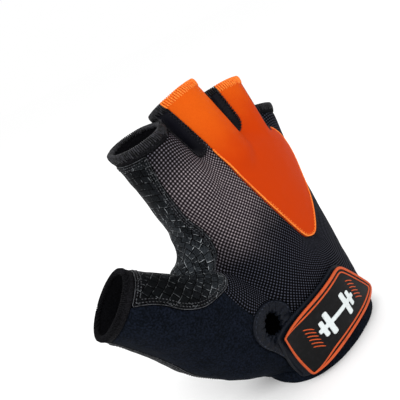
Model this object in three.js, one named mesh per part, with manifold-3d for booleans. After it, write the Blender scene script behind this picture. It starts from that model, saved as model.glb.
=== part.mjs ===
// A half-finger weightlifting glove for the right hand, in the shape that it has when worn.
//
// Millimetres. The origin is the middle of the wrist opening. +Z runs towards the fingertips,
// -Y is the back of the hand, +Y the palm, -X the thumb side and +X the little finger's side.
//
// The glove is one hollow form, a wall of even thickness round five open tubes and the palm.
// Sewing lines divide that wall into the cut pieces, and each piece is a solid of its own with
// a seam's gap to the next. The closure lies on the back of the wrist in layers.

import * as THREE from 'three';
import Module from 'manifold-3d';
import { mergeVertices } from 'three/addons/utils/BufferGeometryUtils.js';

const wasm = await Module();
wasm.setup();
const { Manifold, Mesh: SolidMesh } = wasm;

// Driving sizes
const WALL = 1.8; // cloth and leather
const SEAM_GAP = 0.35; // between two cut pieces
const LAYER_GAP = 0.3; // between two layers of the closure
const HEM = { deep: 4.5, proud: 0.4 }; // folded end of a finger or the thumb
const BINDING = { deep: 5.5, proud: 0.5 }; // tape round the wrist opening
const FACING_PROUD = 0.4; // the keyhole's turned and gathered border
const SLIT_WIDTH = 1.2; // between two fingers at the crotch
const REACH = 12; // how far the hollow is carried out past each opening
const FAR = 70; // well outside the glove, along Y and from any point on it
const OUTSIDE = { left: -120, right: 120, low: -20, high: 150 }; // the same, seen along Y
const BACK_TO = 3; // Y to which a cut through the back alone is carried
const MERGED = 1e-4; // distance under which two points are one
const BLUNTEST_MITRE = 0.5; // cosine of half the sharpest turn that keeps its full corner

// Facets round and along each form
const SIDES = { body: 30, finger: 16, thumb: 20 };
const STEPS = { body: 10, finger: 2, thumb: 7, web: 5 };
const SAMPLES_PER_MM = 0.24; // along a curved sewing line

// The hand from the wrist to the knuckles. Each row is a section across Z: the middle, half the
// width, the depth to the back and to the palm, and how far each edge is carried to the palm.
const BODY = [
  { z: 0, x: -2, y: 0, half: 33.5, back: 19.5, palm: 21, ulnar: 0, radial: 1 },
  { z: 14, x: -1.3, y: 0.5, half: 33.3, back: 19.5, palm: 21, ulnar: 1, radial: 1 },
  { z: 30, x: 0, y: 2, half: 34, back: 18.5, palm: 21, ulnar: 3, radial: 0 },
  { z: 50, x: 0, y: 4, half: 36.5, back: 17.5, palm: 20.5, ulnar: 5, radial: 0 },
  { z: 70, x: 0, y: 6, half: 38.5, back: 17, palm: 20, ulnar: 7, radial: 1 },
  { z: 86, x: -0.5, y: 7.5, half: 41, back: 16.5, palm: 19.5, ulnar: 7.5, radial: 2 },
  { z: 98, x: -2.5, y: 10, half: 38, back: 16.5, palm: 15.5, ulnar: 6, radial: 3 },
  { z: 106, x: -5, y: 12, half: 28, back: 13, palm: 10, ulnar: 6, radial: 3 },
];
const BODY_SQUARENESS = 0.85; // under 1 fills the corners of the section

// Fingers: the knuckle, the middle of the hem, the radius at each, the palm's depth at the root,
// and how steeply the hem slants so that it is longer on the palm
const FINGERS = {
  index: { knuckle: [-30, 8, 92], hem: [-35.9, 19.8, 125], root: 14.3, end: 12.3, pad: 21, slant: 0.34 },
  middle: { knuckle: [-8, 4, 96], hem: [-10.1, 16.2, 132.2], root: 13.2, end: 12, pad: 16, slant: 0 },
  ring: { knuckle: [13, 7, 92], hem: [17.2, 14.9, 125], root: 12.6, end: 11.2, pad: 15, slant: 0 },
  pinky: { knuckle: [29, 13, 83], hem: [36.5, 17, 106.5], root: 11.6, end: 10, pad: 13, slant: 0 },
};
const FINGER_START = { behind: 18, sunk: 5, slim: 0.86 }; // behind its knuckle, inside the hand
const PAD_END = 0.87; // how far along a finger its palm's extra depth ends

// The thumb along its bones, with half its width in the plane of the web and across that plane
const THUMB = [
  { x: -15.5, y: 4.4, z: 9.5, across: 17.5, deep: 15.8 },
  { x: -31.3, y: 7.6, z: 24.4, across: 20.6, deep: 18 },
  { x: -47.6, y: 8.7, z: 39.6, across: 22.2, deep: 17.5 },
  { x: -61.9, y: 11, z: 53, across: 22.9, deep: 16 },
  { x: -73.8, y: 15.1, z: 65.7, across: 21.3, deep: 14.6 },
  { x: -83.4, y: 20.8, z: 76.5, across: 19, deep: 13.4 },
];
const THUMB_SIDE = new THREE.Vector3(0.62, 0, -0.78); // from the web towards the heel of the hand

// The web between thumb and index finger, seen along Y: it fills their corner up to a round notch
const WEB = {
  corners: [
    { x: -24, z: 44 },
    { x: -34, z: 84 },
    { x: -42.6, z: 84 },
  ],
  notch: { x: -48, z: 76.5, radius: 5.4, from: 0.35, to: -1.9 },
  heel: { x: -64, z: 57 },
  profile: [
    { y: 24.5, drawnIn: 5 },
    { y: 21, drawnIn: 1.5 },
    { y: 14, drawnIn: 0 },
    { y: 8, drawnIn: 1.5 },
    { y: 4.6, drawnIn: 5 },
  ],
};

// The slits between the fingers, from the crotch to past the hems
const SLITS = {
  index_middle: { crotch: { x: -21.4, z: 109.5 }, end: { x: -24.2, z: 136 } },
  middle_ring: { crotch: { x: 3.4, z: 109 }, end: { x: 4.4, z: 136 } },
  ring_pinky: { crotch: { x: 23, z: 101 }, end: { x: 27.6, z: 125 } },
};
const SLIT_SPREAD = 1.4; // how much wider a slit is at its end

// Gussets: the strips between two fingers, as half widths on each side of the slit's line
const GUSSETS = {
  index_middle: { below: 2.6, radial: 2.6, ulnar: 2.6 },
  middle_ring: { below: 2.6, radial: 3, ulnar: 5 },
  ring_pinky: { below: 2.6, radial: 3.2, ulnar: 3.2 },
};

// The seam between back and palm, as Y for each Z along the hand, the index finger's outer side
// and the thumb, and the X at which it has turned half way to the thumb
const SIDE_SEAM = [
  { z: -20, hand: 3, outer: 3, thumb: 11, turn: -27 },
  { z: 40, hand: 5, outer: 5, thumb: 13, turn: -33 },
  { z: 62, hand: 7, outer: 7, thumb: 17, turn: -45 },
  { z: 84, hand: 9, outer: 3, thumb: 27, turn: -52 },
  { z: 103, hand: 13, outer: 6.7, thumb: 34, turn: -56 },
  { z: 122, hand: 18, outer: 8.6, thumb: 41, turn: -58 },
  { z: 140, hand: 23, outer: 12, thumb: 48, turn: -58 },
];
const SIDE_SEAM_OUTER = { from: 31, to: 37 }; // -X between which it turns to the outer side
const SIDE_SEAM_TURN = 6; // half the width of that turn
const SIDE_SEAM_ULNAR = { rise: 6, at: 38 }; // its rise towards the little finger's edge
const SIDE_SEAM_AT_X = [-120, -58, -51, -44, -37, -34, -30, -21, 0, 20, 38, 70];

// Sewing lines on the back, seen along Y. Each piece's outline is closed round the outside of the
// glove by a few corners more.
const ORANGE_RADIAL_EDGE = [
  { x: -18.3, z: 110.5 },
  { x: -17.7, z: 103 },
  { x: -16.2, z: 93.7 },
  { x: -12.7, z: 82.7 },
  { x: -8.2, z: 71 },
  { x: -4.2, z: 61.4 },
  { x: -1.8, z: 56.2 },
  { x: 0.3, z: 53 },
  { x: 4.3, z: 51.2 },
];
const ORANGE_ULNAR_EDGE = [
  { x: 4.3, z: 51.2 },
  { x: 9, z: 52.4 },
  { x: 20.4, z: 62.9 },
  { x: 26.5, z: 72.8 },
  { x: 30.8, z: 82 },
  { x: 31.8, z: 90 },
  { x: 28.5, z: 96.5 },
  { x: 22.9, z: 101.5 },
];
const ORANGE_OUTSIDE = [
  { x: 30, z: 140 },
  { x: -22, z: 140 },
];
const GRIP_INDEX_EDGE = [
  { x: -42, z: 87 },
  { x: -39.7, z: 81.5 },
  { x: -38.2, z: 75 },
  { x: -38.4, z: 67.5 },
  { x: -42, z: 62.6 },
];
const GRIP_THUMB_EDGE = [
  { x: -42, z: 62.6 },
  { x: -49, z: 60.8 },
  { x: -57.2, z: 61.4 },
  { x: -66, z: 62.6 },
  { x: -73.2, z: 66.6 },
  { x: -78.3, z: 72.2 },
  { x: -83.5, z: 76 },
  { x: -92, z: 79.5 },
];
const GRIP_OUTSIDE = [
  { x: OUTSIDE.left, z: 90 },
  { x: OUTSIDE.left, z: 140 },
  { x: -52, z: 140 },
  { x: -50, z: 87 },
];
const THUMB_PANEL_EDGE = [
  { x: -54, z: 66 },
  { x: -52.4, z: 58.5 },
  { x: -49.1, z: 50.5 },
  { x: -45, z: 43 },
  { x: -38, z: 34 },
  { x: -33, z: 20 },
  { x: -31, z: OUTSIDE.low },
];
const THUMB_PANEL_OUTSIDE = [
  { x: OUTSIDE.left, z: OUTSIDE.low },
  { x: OUTSIDE.left, z: 100 },
  { x: -54, z: 100 },
];
const THUMB_GRIP_EDGE = [
  { x: -28, z: OUTSIDE.low },
  { x: -29, z: 20 },
  { x: -33, z: 40 },
  { x: -40, z: 60 },
  { x: -43.5, z: 71.5 },
  { x: -48, z: 78 },
];
const THUMB_GRIP_OUTSIDE = [
  { x: OUTSIDE.left, z: 110 },
  { x: OUTSIDE.left, z: OUTSIDE.low },
];
const HEEL_TO = 45; // Z up to which the grip is the heel's piece
const MESH_SIDE_FROM = 4.3; // X from which the mesh is the little finger side's piece
const FACING_EDGE = [
  { x: -27.2, z: 30 },
  { x: -26.4, z: 35 },
  { x: -28.6, z: 39.2 },
  { x: -33.2, z: 42.3 },
  { x: -39.6, z: 44 },
  { x: -45.6, z: 43.2 },
  { x: -49.4, z: 39.2 },
  { x: -49.3, z: 33.4 },
  { x: -46.6, z: 27.8 },
  { x: -42, z: 22 },
  { x: -37.4, z: 15 },
  { x: -34.6, z: 9 },
  { x: -33.4, z: 2 },
];
const FACING_UNDER_BADGE = [{ x: -24, z: 2 }];
const KEYHOLE = { x: -38.2, z: 34.2, radius: 5, scallop: 0.45, scallops: 12, pointsEach: 3 };
const CLOSURE_SLIT = { half: 0.9, top: { x: -35.6, z: 31 }, foot: { x: -27.5, z: -20 } };

// The badge on the closure, seen along Y: how far each corner is rounded, and how far the cloth
// tab under it goes beyond
const BADGE_CORNERS = [
  { x: -35.7, z: 26, round: 1, tab: 2.4 },
  { x: -26, z: 29.9, round: 5, tab: 1 },
  { x: -12, z: 33.4, round: 6, tab: 0.8 },
  { x: 4.6, z: 35.2, round: 4, tab: 0.8 },
  { x: 24.5, z: 12.6, round: 5, tab: 0.8 },
  { x: 10, z: 9.4, round: 6, tab: 0.8 },
  { x: -8, z: 8.8, round: 8, tab: 0.8 },
  { x: -22, z: 6.8, round: 6, tab: 1 },
  { x: -33, z: 3.6, round: 1, tab: 2.4 },
];
const CORNER_STEPS = 2;
const SHARPEST_CORNER = 0.7; // however far the outline is drawn in
const TAB_THICK = 1.5; // the cloth tab under the badge
const BADGE = { thick: 1.3, raised: 0.8, inset: 0.2, rimOuter: 1.9, rimGap: 0.8, rimInner: 1.0 };
const MOTIF = {
  centre: { x: -11, z: 20 },
  turn: 0.09,
  bar: { long: 26, high: 2 },
  plates: [
    { at: 6.4, wide: 3, high: 11 },
    { at: 10.2, wide: 2.4, high: 7.4 },
  ],
  ribs: { rows: [-4.2, 0, 4.2], at: 16.4, wide: 3.6, high: 1.4 },
};

const FINISHES = {
  mesh: { color: 0x2b2930, roughness: 0.9 },
  orange: { color: 0xe85a10, roughness: 0.55 },
  grip: { color: 0x17191b, roughness: 0.45 },
  neoprene: { color: 0x14161f, roughness: 0.85 },
  gusset: { color: 0x1b1b22, roughness: 0.6 },
  hem: { color: 0x1b1a1e, roughness: 0.9 },
  rubber: { color: 0x161616, roughness: 0.5 },
  border: { color: 0xe0602c, roughness: 0.5 },
  print: { color: 0xdfe6e6, roughness: 0.5 },
};

const at = ([x, y, z]) => new THREE.Vector3(x, y, z);
const flat = ({ x, z }) => new THREE.Vector2(x, z);

/** A column of a table between its rows, on a smooth curve; t runs from 0 to 1. */
function along(rows, column, t) {
  const place = t * (rows.length - 1);
  const row = Math.min(Math.floor(place), rows.length - 2);
  const value = (index) => rows[THREE.MathUtils.clamp(index, 0, rows.length - 1)][column];
  const [a, b, c, d] = [value(row - 1), value(row), value(row + 1), value(row + 2)];
  const f = place - row;
  const bend = (2 * a - 5 * b + 4 * c - d) * f * f + (3 * b - a - 3 * c + d) * f ** 3;
  return 0.5 * (2 * b + (c - a) * f + bend);
}

/** A column of a table at a given Z, in straight lines between its rows. */
function atHeight(rows, column, z) {
  const upper = THREE.MathUtils.clamp(rows.findIndex((row) => row.z >= z), 1, rows.length - 1);
  const [low, high] = [rows[upper - 1], rows[upper]];
  return THREE.MathUtils.mapLinear(z, low.z, high.z, low[column], high[column]);
}

/** Makes a solid of a closed geometry. */
function solidOf(geometry) {
  const bare = geometry.clone();
  bare.deleteAttribute('normal');
  bare.deleteAttribute('uv');
  const merged = mergeVertices(bare, MERGED);
  const vertProperties = merged.attributes.position.array;
  const triVerts = new Uint32Array(merged.index.array);
  return new Manifold(new SolidMesh({ numProp: 3, vertProperties, triVerts }));
}

/** A closed geometry through rings of as many points each, with a fan over each end. */
function loft(rings) {
  const count = rings[0].length;
  const points = rings.flat();
  const faces = [];
  for (let ring = 0; ring + 1 < rings.length; ring += 1) {
    for (let side = 0; side < count; side += 1) {
      const a = ring * count + side;
      const b = ring * count + ((side + 1) % count);
      faces.push(a, b, b + count, a, b + count, a + count);
    }
  }
  for (const ring of [0, rings.length - 1]) {
    const middle = points.length;
    points.push(rings[ring].reduce((sum, point) => sum.add(point), at([0, 0, 0])).divideScalar(count));
    for (let side = 0; side < count; side += 1) {
      const a = ring * count + side;
      const b = ring * count + ((side + 1) % count);
      faces.push(...(ring === 0 ? [b, a, middle] : [a, b, middle]));
    }
  }
  const geometry = new THREE.BufferGeometry().setFromPoints(points);
  geometry.setIndex(faces);
  return geometry;
}

/** The points of one ring; place gives the point at each angle. */
function ringOf(sides, place) {
  return Array.from({ length: sides }, (_, side) => place((2 * Math.PI * side) / sides));
}

/** A tube of elliptic sections: point, direction, side, across (along the side), deep and slant. */
function tube(stations, sides) {
  const rings = stations.map(({ point, direction, side, across, deep, slant = 0 }) => {
    const u = side.clone().addScaledVector(direction, -side.dot(direction)).normalize();
    const w = direction.clone().cross(u);
    return ringOf(sides, (angle) => point
      .clone()
      .addScaledVector(u, across * Math.cos(angle))
      .addScaledVector(w, deep * Math.sin(angle))
      .addScaledVector(direction, slant * deep * Math.sin(angle)));
  });
  return solidOf(loft(rings));
}

const squared = (value) => Math.sign(value) * Math.abs(value) ** BODY_SQUARENESS;

/** The hand without its fingers, grown by an amount, and carried out past the wrist by reach. */
function bodyForm(grow, reach) {
  const ringAt = (t, z) => {
    const row = {};
    for (const column of Object.keys(BODY[0])) {
      row[column] = along(BODY, column, t);
    }
    return ringOf(SIDES.body, (angle) => {
      const x = squared(Math.cos(angle));
      const y = squared(Math.sin(angle));
      const edge = row.ulnar * Math.max(0, x) ** 2 + row.radial * Math.max(0, -x) ** 2;
      const depth = (y > 0 ? row.palm : row.back) + grow;
      return at([row.x + x * (row.half + grow), row.y + y * depth + edge, z ?? row.z]);
    });
  };
  const steps = Array.from({ length: STEPS.body }, (_, step) => ringAt(step / STEPS.body));
  const top = ringAt(1, BODY[BODY.length - 1].z + grow);
  return solidOf(loft(reach > 0 ? [ringAt(0, -reach), ...steps, top] : [...steps, top]));
}

/** One finger's tube, from inside the hand to its hem and then on by reach. */
function fingerForm(finger, grow, reach) {
  const direction = at(finger.hem).sub(at(finger.knuckle)).normalize();
  const length = at(finger.knuckle).distanceTo(at(finger.hem));
  const palmwards = at([0, direction.z, -direction.y]).normalize();
  const { behind, sunk, slim } = FINGER_START;
  const stationAt = (t, beyond = 0) => {
    const across = THREE.MathUtils.lerp(finger.root, finger.end, t) + grow;
    const palm = THREE.MathUtils.lerp(finger.pad, finger.end, Math.min(1, t / PAD_END)) + grow;
    const deep = (across + palm) / 2;
    const point = at(finger.knuckle).addScaledVector(direction, length * t + beyond);
    point.addScaledVector(palmwards, deep - across);
    return { point, direction, side: at([1, 0, 0]), across, deep, slant: t === 1 ? finger.slant : 0 };
  };
  const root = stationAt(0, -behind);
  root.point.addScaledVector(palmwards, sunk);
  root.across *= slim;
  root.deep *= slim;
  const stations = [root];
  for (let step = 0; step <= STEPS.finger; step += 1) {
    stations.push(stationAt(step / STEPS.finger));
  }
  return tube(reach > 0 ? [...stations, stationAt(1, reach)] : stations, SIDES.finger);
}

/** The middle of the thumb's hem and its direction there. */
function thumbEnd() {
  const curve = new THREE.CatmullRomCurve3(THUMB.map((row) => at([row.x, row.y, row.z])));
  return { curve, point: curve.getPoint(1), direction: curve.getTangent(1) };
}

/** The thumb's tube with the ball of the thumb, to its hem and then on by reach. */
function thumbForm(grow, reach) {
  const { curve } = thumbEnd();
  const stationAt = (t, beyond = 0) => {
    const direction = curve.getTangent(t);
    const point = curve.getPoint(t).addScaledVector(direction, beyond);
    const across = along(THUMB, 'across', t) + grow;
    return { point, direction, side: THUMB_SIDE, across, deep: along(THUMB, 'deep', t) + grow };
  };
  const stations = Array.from({ length: STEPS.thumb + 1 }, (_, step) => stationAt(step / STEPS.thumb));
  return tube(reach > 0 ? [...stations, stationAt(1, reach)] : stations, SIDES.thumb);
}

/** Pushes a closed outline outwards by an amount, the same all round or one for each point. */
function grown(points, by) {
  const turn = THREE.ShapeUtils.isClockWise(points) ? -1 : 1;
  return points.map((point, index) => {
    const before = points[(index + points.length - 1) % points.length];
    const after = points[(index + 1) % points.length];
    const [a, b] = [point.clone().sub(before).normalize(), after.clone().sub(point).normalize()];
    const normal = new THREE.Vector2(a.y + b.y, -a.x - b.x).normalize();
    const mitre = Math.max(BLUNTEST_MITRE, normal.x * a.y - normal.y * a.x);
    return point.clone().addScaledVector(normal, (turn * (by[index] ?? by)) / mitre);
  });
}

/** An outline in X and Z, carried along Y from one depth to another. */
function prism(points, from = -FAR, to = FAR) {
  const geometry = new THREE.ExtrudeGeometry(new THREE.Shape(points), {
    depth: to - from,
    bevelEnabled: false,
  });
  geometry.rotateX(Math.PI / 2);
  geometry.translate(0, to, 0);
  return solidOf(geometry);
}

/** The web between the thumb and the index finger, its edges rounded to a lip. */
function webForm(grow) {
  const { x, z, radius, from, to } = WEB.notch;
  const notch = Array.from({ length: STEPS.web + 1 }, (_, step) => {
    const angle = THREE.MathUtils.lerp(from, to, step / STEPS.web);
    return new THREE.Vector2(x + radius * Math.cos(angle), z + radius * Math.sin(angle));
  });
  const outline = [...WEB.corners.map(flat), ...notch, flat(WEB.heel)];
  const rings = WEB.profile.map(({ y, drawnIn }) => {
    const outwards = y > WEB.profile[2].y ? grow : y < WEB.profile[2].y ? -grow : 0;
    return grown(outline, grow - drawnIn).map((point) => at([point.x, y + outwards, point.y]));
  });
  return solidOf(loft(rings));
}

/** Points along a smooth sewing line through the rows of a table. */
function sewn(rows) {
  const curve = new THREE.SplineCurve(rows.map(flat));
  return curve.getSpacedPoints(Math.round(curve.getLength() * SAMPLES_PER_MM));
}

/** An outline with its corners rounded, each as far as its row says. */
function rounded(corners) {
  return corners.flatMap((corner, index) => {
    const point = flat(corner);
    const towards = (other) => point.clone().add(flat(other).sub(point).setLength(corner.round));
    const before = towards(corners[(index + corners.length - 1) % corners.length]);
    const after = towards(corners[(index + 1) % corners.length]);
    return new THREE.QuadraticBezierCurve(before, point, after).getPoints(CORNER_STEPS);
  });
}

/** A strip round a slit's line, from below its crotch to past the hems. */
function strip({ crotch, end }, below, radial, ulnar, spread) {
  const line = flat(end).sub(flat(crotch)).normalize();
  const across = new THREE.Vector2(line.y, -line.x);
  const foot = flat(crotch).addScaledVector(line, -below);
  const shoulder = flat(crotch).addScaledVector(line, Math.min(radial, ulnar) - below);
  return [
    flat(end).addScaledVector(across, -radial - spread),
    shoulder.clone().addScaledVector(across, -radial),
    foot.clone().addScaledVector(across, -radial / 2),
    foot.clone().addScaledVector(across, ulnar / 2),
    shoulder.clone().addScaledVector(across, ulnar),
    flat(end).addScaledVector(across, ulnar + spread),
  ];
}

/** The gap between two fingers; a form grown by less has a wider gap. */
function slitGap(slit, grow) {
  const half = SLIT_WIDTH / 2 - grow;
  return prism(strip(slit, half, half, half, SLIT_SPREAD / 2));
}

/** A block over the whole glove between two heights. */
function between(low, high) {
  return prism([
    new THREE.Vector2(OUTSIDE.left, low),
    new THREE.Vector2(OUTSIDE.right, low),
    new THREE.Vector2(OUTSIDE.right, high),
    new THREE.Vector2(OUTSIDE.left, high),
  ]);
}

/** The whole glove as a full form, grown by an amount, its ends carried on by reach. */
function gloveForm(grow, reach = 0) {
  let form = bodyForm(grow, reach).add(thumbForm(grow, reach)).add(webForm(grow));
  for (const finger of Object.values(FINGERS)) {
    form = form.add(fingerForm(finger, grow, reach));
  }
  if (grow < HEM.proud + SEAM_GAP / 2) {
    for (const slit of Object.values(SLITS)) {
      form = form.subtract(slitGap(slit, grow));
    }
  }
  return reach > 0 ? form : form.subtract(between(OUTSIDE.low, 0));
}

/** Y of the seam between the back and the palm. */
function sideSeam(x, z) {
  const turn = -atHeight(SIDE_SEAM, 'turn', z);
  const thumbward = THREE.MathUtils.smoothstep(-x, turn - SIDE_SEAM_TURN, turn + SIDE_SEAM_TURN);
  const outward = THREE.MathUtils.smoothstep(-x, SIDE_SEAM_OUTER.from, SIDE_SEAM_OUTER.to);
  const [hand, outer, thumb] = ['hand', 'outer', 'thumb'].map((column) => atHeight(SIDE_SEAM, column, z));
  const rise = SIDE_SEAM_ULNAR.rise * (Math.max(0, x) / SIDE_SEAM_ULNAR.at) ** 2;
  return THREE.MathUtils.lerp(THREE.MathUtils.lerp(hand, outer, outward), thumb, thumbward) + rise;
}

/** Everything on the palm's side of the side seam, grown towards the back by an amount. */
function palmSide(by) {
  const rings = SIDE_SEAM.map(({ z }) => [
    ...SIDE_SEAM_AT_X.map((x) => at([x, sideSeam(x, z) - by, z])),
    at([SIDE_SEAM_AT_X[SIDE_SEAM_AT_X.length - 1], FAR, z]),
    at([SIDE_SEAM_AT_X[0], FAR, z]),
  ]);
  return solidOf(loft(rings));
}

/** A block over the last stretch of a tube, square to its direction. */
function endBlock({ point, direction }, deep) {
  const block = new THREE.BoxGeometry(FAR, FAR, FAR);
  block.translate(0, 0, FAR / 2 - deep);
  block.applyQuaternion(new THREE.Quaternion().setFromUnitVectors(at([0, 0, 1]), direction));
  block.translate(point.x, point.y, point.z);
  return solidOf(block);
}

/** The end of one finger, shut off from its neighbours by the slits' lines. */
function fingerEnd(name, deep) {
  const { knuckle, hem, slant } = FINGERS[name];
  const direction = at(hem).sub(at(knuckle)).normalize();
  const palmwards = at([0, direction.z, -direction.y]).normalize();
  const slanted = direction.addScaledVector(palmwards, -slant).normalize();
  let block = endBlock({ point: at(hem), direction: slanted }, deep);
  for (const [fingers, slit] of Object.entries(SLITS)) {
    const side = fingers.endsWith(name) ? -1 : 1;
    if (fingers.includes(name)) {
      const [low, high] = [flat(slit.crotch), flat(slit.end)];
      const line = high.clone().sub(low).normalize();
      const away = new THREE.Vector2(line.y, -line.x).multiplyScalar(side);
      const foot = low.clone().addScaledVector(line, -FAR);
      const top = high.clone().addScaledVector(line, FAR);
      const shifted = [top, foot].map((point) => point.clone().addScaledVector(away, FAR));
      block = block.subtract(prism([foot, top, ...shifted]));
    }
  }
  return block;
}

/** A region that runs through the glove along Y, inside an outline that is grown by an amount. */
const regionOf = (outline, to = FAR) => (by) => prism(grown(outline, by), -FAR, to);

const wristRegion = (by) => between(OUTSIDE.low, BINDING.deep + by);

const facingRegion = regionOf([...sewn(FACING_EDGE), ...FACING_UNDER_BADGE.map(flat)], BACK_TO);

const gussetRegion = (name) => {
  const { below, radial, ulnar } = GUSSETS[name];
  return regionOf(strip(SLITS[name], below, radial, ulnar, 0));
};

const lapRegion = regionOf([
  ...sewn(GRIP_INDEX_EDGE),
  ...sewn(GRIP_THUMB_EDGE).slice(1),
  ...GRIP_OUTSIDE.map(flat),
]);

const palmRegion = (by) => palmSide(by).add(lapRegion(by));

const thumbGripRegion = regionOf([...THUMB_GRIP_EDGE, ...THUMB_GRIP_OUTSIDE].map(flat));

const orangeRegion = regionOf([
  ...sewn(ORANGE_RADIAL_EDGE),
  ...sewn(ORANGE_ULNAR_EDGE).slice(1),
  ...ORANGE_OUTSIDE.map(flat),
]);

const thumbRegion = regionOf([...sewn(THUMB_PANEL_EDGE), ...THUMB_PANEL_OUTSIDE.map(flat)]);

const meshSideRegion = (by) => between(OUTSIDE.low, OUTSIDE.high)
  .subtract(prism([
    new THREE.Vector2(OUTSIDE.left, OUTSIDE.low),
    new THREE.Vector2(MESH_SIDE_FROM - by, OUTSIDE.low),
    new THREE.Vector2(MESH_SIDE_FROM - by, OUTSIDE.high),
    new THREE.Vector2(OUTSIDE.left, OUTSIDE.high),
  ]));

const everything = () => between(OUTSIDE.low, OUTSIDE.high);

/** The keyhole with its scalloped edge, and the slit from it to the wrist, in the back only. */
function keyhole() {
  const { x, z, radius, scallop, scallops, pointsEach } = KEYHOLE;
  const count = scallops * pointsEach;
  const edge = Array.from({ length: count }, (_, step) => {
    const angle = (2 * Math.PI * step) / count;
    const reach = radius + scallop * Math.cos(scallops * angle);
    return new THREE.Vector2(x + reach * Math.cos(angle), z + reach * Math.sin(angle));
  });
  const { half, top, foot } = CLOSURE_SLIT;
  const slit = [
    flat({ x: top.x - half, z: top.z }),
    flat({ x: foot.x - half, z: foot.z }),
    flat({ x: foot.x + half, z: foot.z }),
    flat({ x: top.x + half, z: top.z }),
  ];
  return prism(edge, -FAR, BACK_TO).add(prism(slit, -FAR, BACK_TO));
}

const hollow = gloveForm(-WALL, REACH);
const openings = hollow.add(keyhole());
const skin = (proud) => gloveForm(proud).subtract(openings);
const wall = skin(0);
const taken = [];

/** Cuts one piece out of the wall, clear of the pieces cut before it. */
function cutPiece(region, from = wall) {
  let piece = from.intersect(region(0));
  for (const earlier of taken) {
    piece = piece.subtract(earlier);
  }
  taken.push(region(SEAM_GAP));
  return piece;
}

const glove = new THREE.Group();

/** Adds a solid to the glove as a named piece of one colour. */
function place(name, solid, finish) {
  const { numProp, vertProperties, triVerts } = solid.getMesh();
  const geometry = new THREE.BufferGeometry();
  geometry.setAttribute('position', new THREE.BufferAttribute(new Float32Array(vertProperties), numProp));
  geometry.setIndex(new THREE.BufferAttribute(new Uint32Array(triVerts), 1));
  geometry.computeVertexNormals();
  const material = new THREE.MeshStandardMaterial({ ...finish, metalness: 0 });
  const mesh = new THREE.Mesh(geometry, material);
  mesh.name = name;
  glove.add(mesh);
}

// Cut pieces, the borders first
const thickSkin = skin(HEM.proud);
const hemRegion = (name) => (by) => fingerEnd(name, HEM.deep + by);
place('index_hem', cutPiece(hemRegion('index'), thickSkin), FINISHES.hem);
place('pinky_hem', cutPiece(hemRegion('pinky'), thickSkin), FINISHES.hem);
place('thumb_hem', cutPiece((by) => endBlock(thumbEnd(), HEM.deep + by), thickSkin), FINISHES.hem);
place('wrist_binding', cutPiece(wristRegion, skin(BINDING.proud)), FINISHES.neoprene);
place('keyhole_facing', cutPiece(facingRegion, skin(FACING_PROUD)), FINISHES.neoprene);
for (const name of Object.keys(GUSSETS)) {
  place(`gusset_${name}`, cutPiece(gussetRegion(name)), FINISHES.gusset);
}
place('thumb_grip', cutPiece((by) => palmRegion(by).intersect(thumbGripRegion(by))), FINISHES.grip);
place(
  'heel_grip',
  cutPiece((by) => palmRegion(by).intersect(between(OUTSIDE.low, HEEL_TO + by))),
  FINISHES.grip,
);
place('palm_grip', cutPiece(palmRegion), FINISHES.grip);
for (const name of ['middle', 'ring']) {
  place(`${name}_hem`, cutPiece(hemRegion(name), thickSkin), FINISHES.orange);
}
place('orange_back', cutPiece(orangeRegion), FINISHES.orange);
place('thumb_panel', cutPiece(thumbRegion), FINISHES.neoprene);
place('mesh_side', cutPiece(meshSideRegion), FINISHES.mesh);
place('mesh_back', cutPiece(everything), FINISHES.mesh);

// The closure: a cloth tab, a rubber badge on it, and the badge's raised border and motif

/** The badge's rounded outline, grown by an amount, or by one for each corner. */
function badgeOutline(by) {
  const points = grown(BADGE_CORNERS.map(flat), by);
  return rounded(BADGE_CORNERS.map(({ round }, index) => ({
    x: points[index].x,
    z: points[index].y,
    round: Math.max(SHARPEST_CORNER, round + (by[index] ?? by) / 2),
  })));
}

/** A layer of even thickness over the glove's back, between two heights above it. */
function layer(low, high, outline) {
  return gloveForm(high).subtract(gloveForm(low)).intersect(prism(outline, -FAR, BACK_TO));
}

const tabLow = BINDING.proud + LAYER_GAP;
const baseLow = tabLow + TAB_THICK + LAYER_GAP;
const raisedLow = baseLow + BADGE.thick + LAYER_GAP;
const raisedHigh = raisedLow + BADGE.raised;
const tabOutline = badgeOutline(BADGE_CORNERS.map((corner) => corner.tab));
place('closure_tab', layer(tabLow, tabLow + TAB_THICK, tabOutline), FINISHES.neoprene);
place('badge_base', layer(baseLow, baseLow + BADGE.thick, badgeOutline(0)), FINISHES.rubber);

/** A raised band that follows the badge's edge, between two distances inside it. */
function rim(outer, inner) {
  return layer(raisedLow, raisedHigh, badgeOutline(-outer)).subtract(prism(badgeOutline(-inner)));
}

const innerRimStart = BADGE.rimOuter + BADGE.rimGap;
place('badge_rim_outer', rim(BADGE.inset, BADGE.rimOuter), FINISHES.border);
place('badge_rim_inner', rim(innerRimStart, innerRimStart + BADGE.rimInner), FINISHES.border);

/** A rectangle on the badge, in the motif's own turned frame. */
function patch(x, z, wide, high) {
  const { centre, turn } = MOTIF;
  const corners = [[-1, -1], [1, -1], [1, 1], [-1, 1]];
  return corners.map(([right, up]) => new THREE.Vector2(x + (right * wide) / 2, z + (up * high) / 2)
    .rotateAround(new THREE.Vector2(0, 0), turn)
    .add(flat(centre)));
}

let barbell = layer(raisedLow, raisedHigh, patch(0, 0, MOTIF.bar.long, MOTIF.bar.high));
for (const { at: reach, wide, high } of MOTIF.plates) {
  for (const side of [-1, 1]) {
    barbell = barbell.add(layer(raisedLow, raisedHigh, patch(side * reach, 0, wide, high)));
  }
}
place('badge_barbell', barbell, FINISHES.print);

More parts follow.
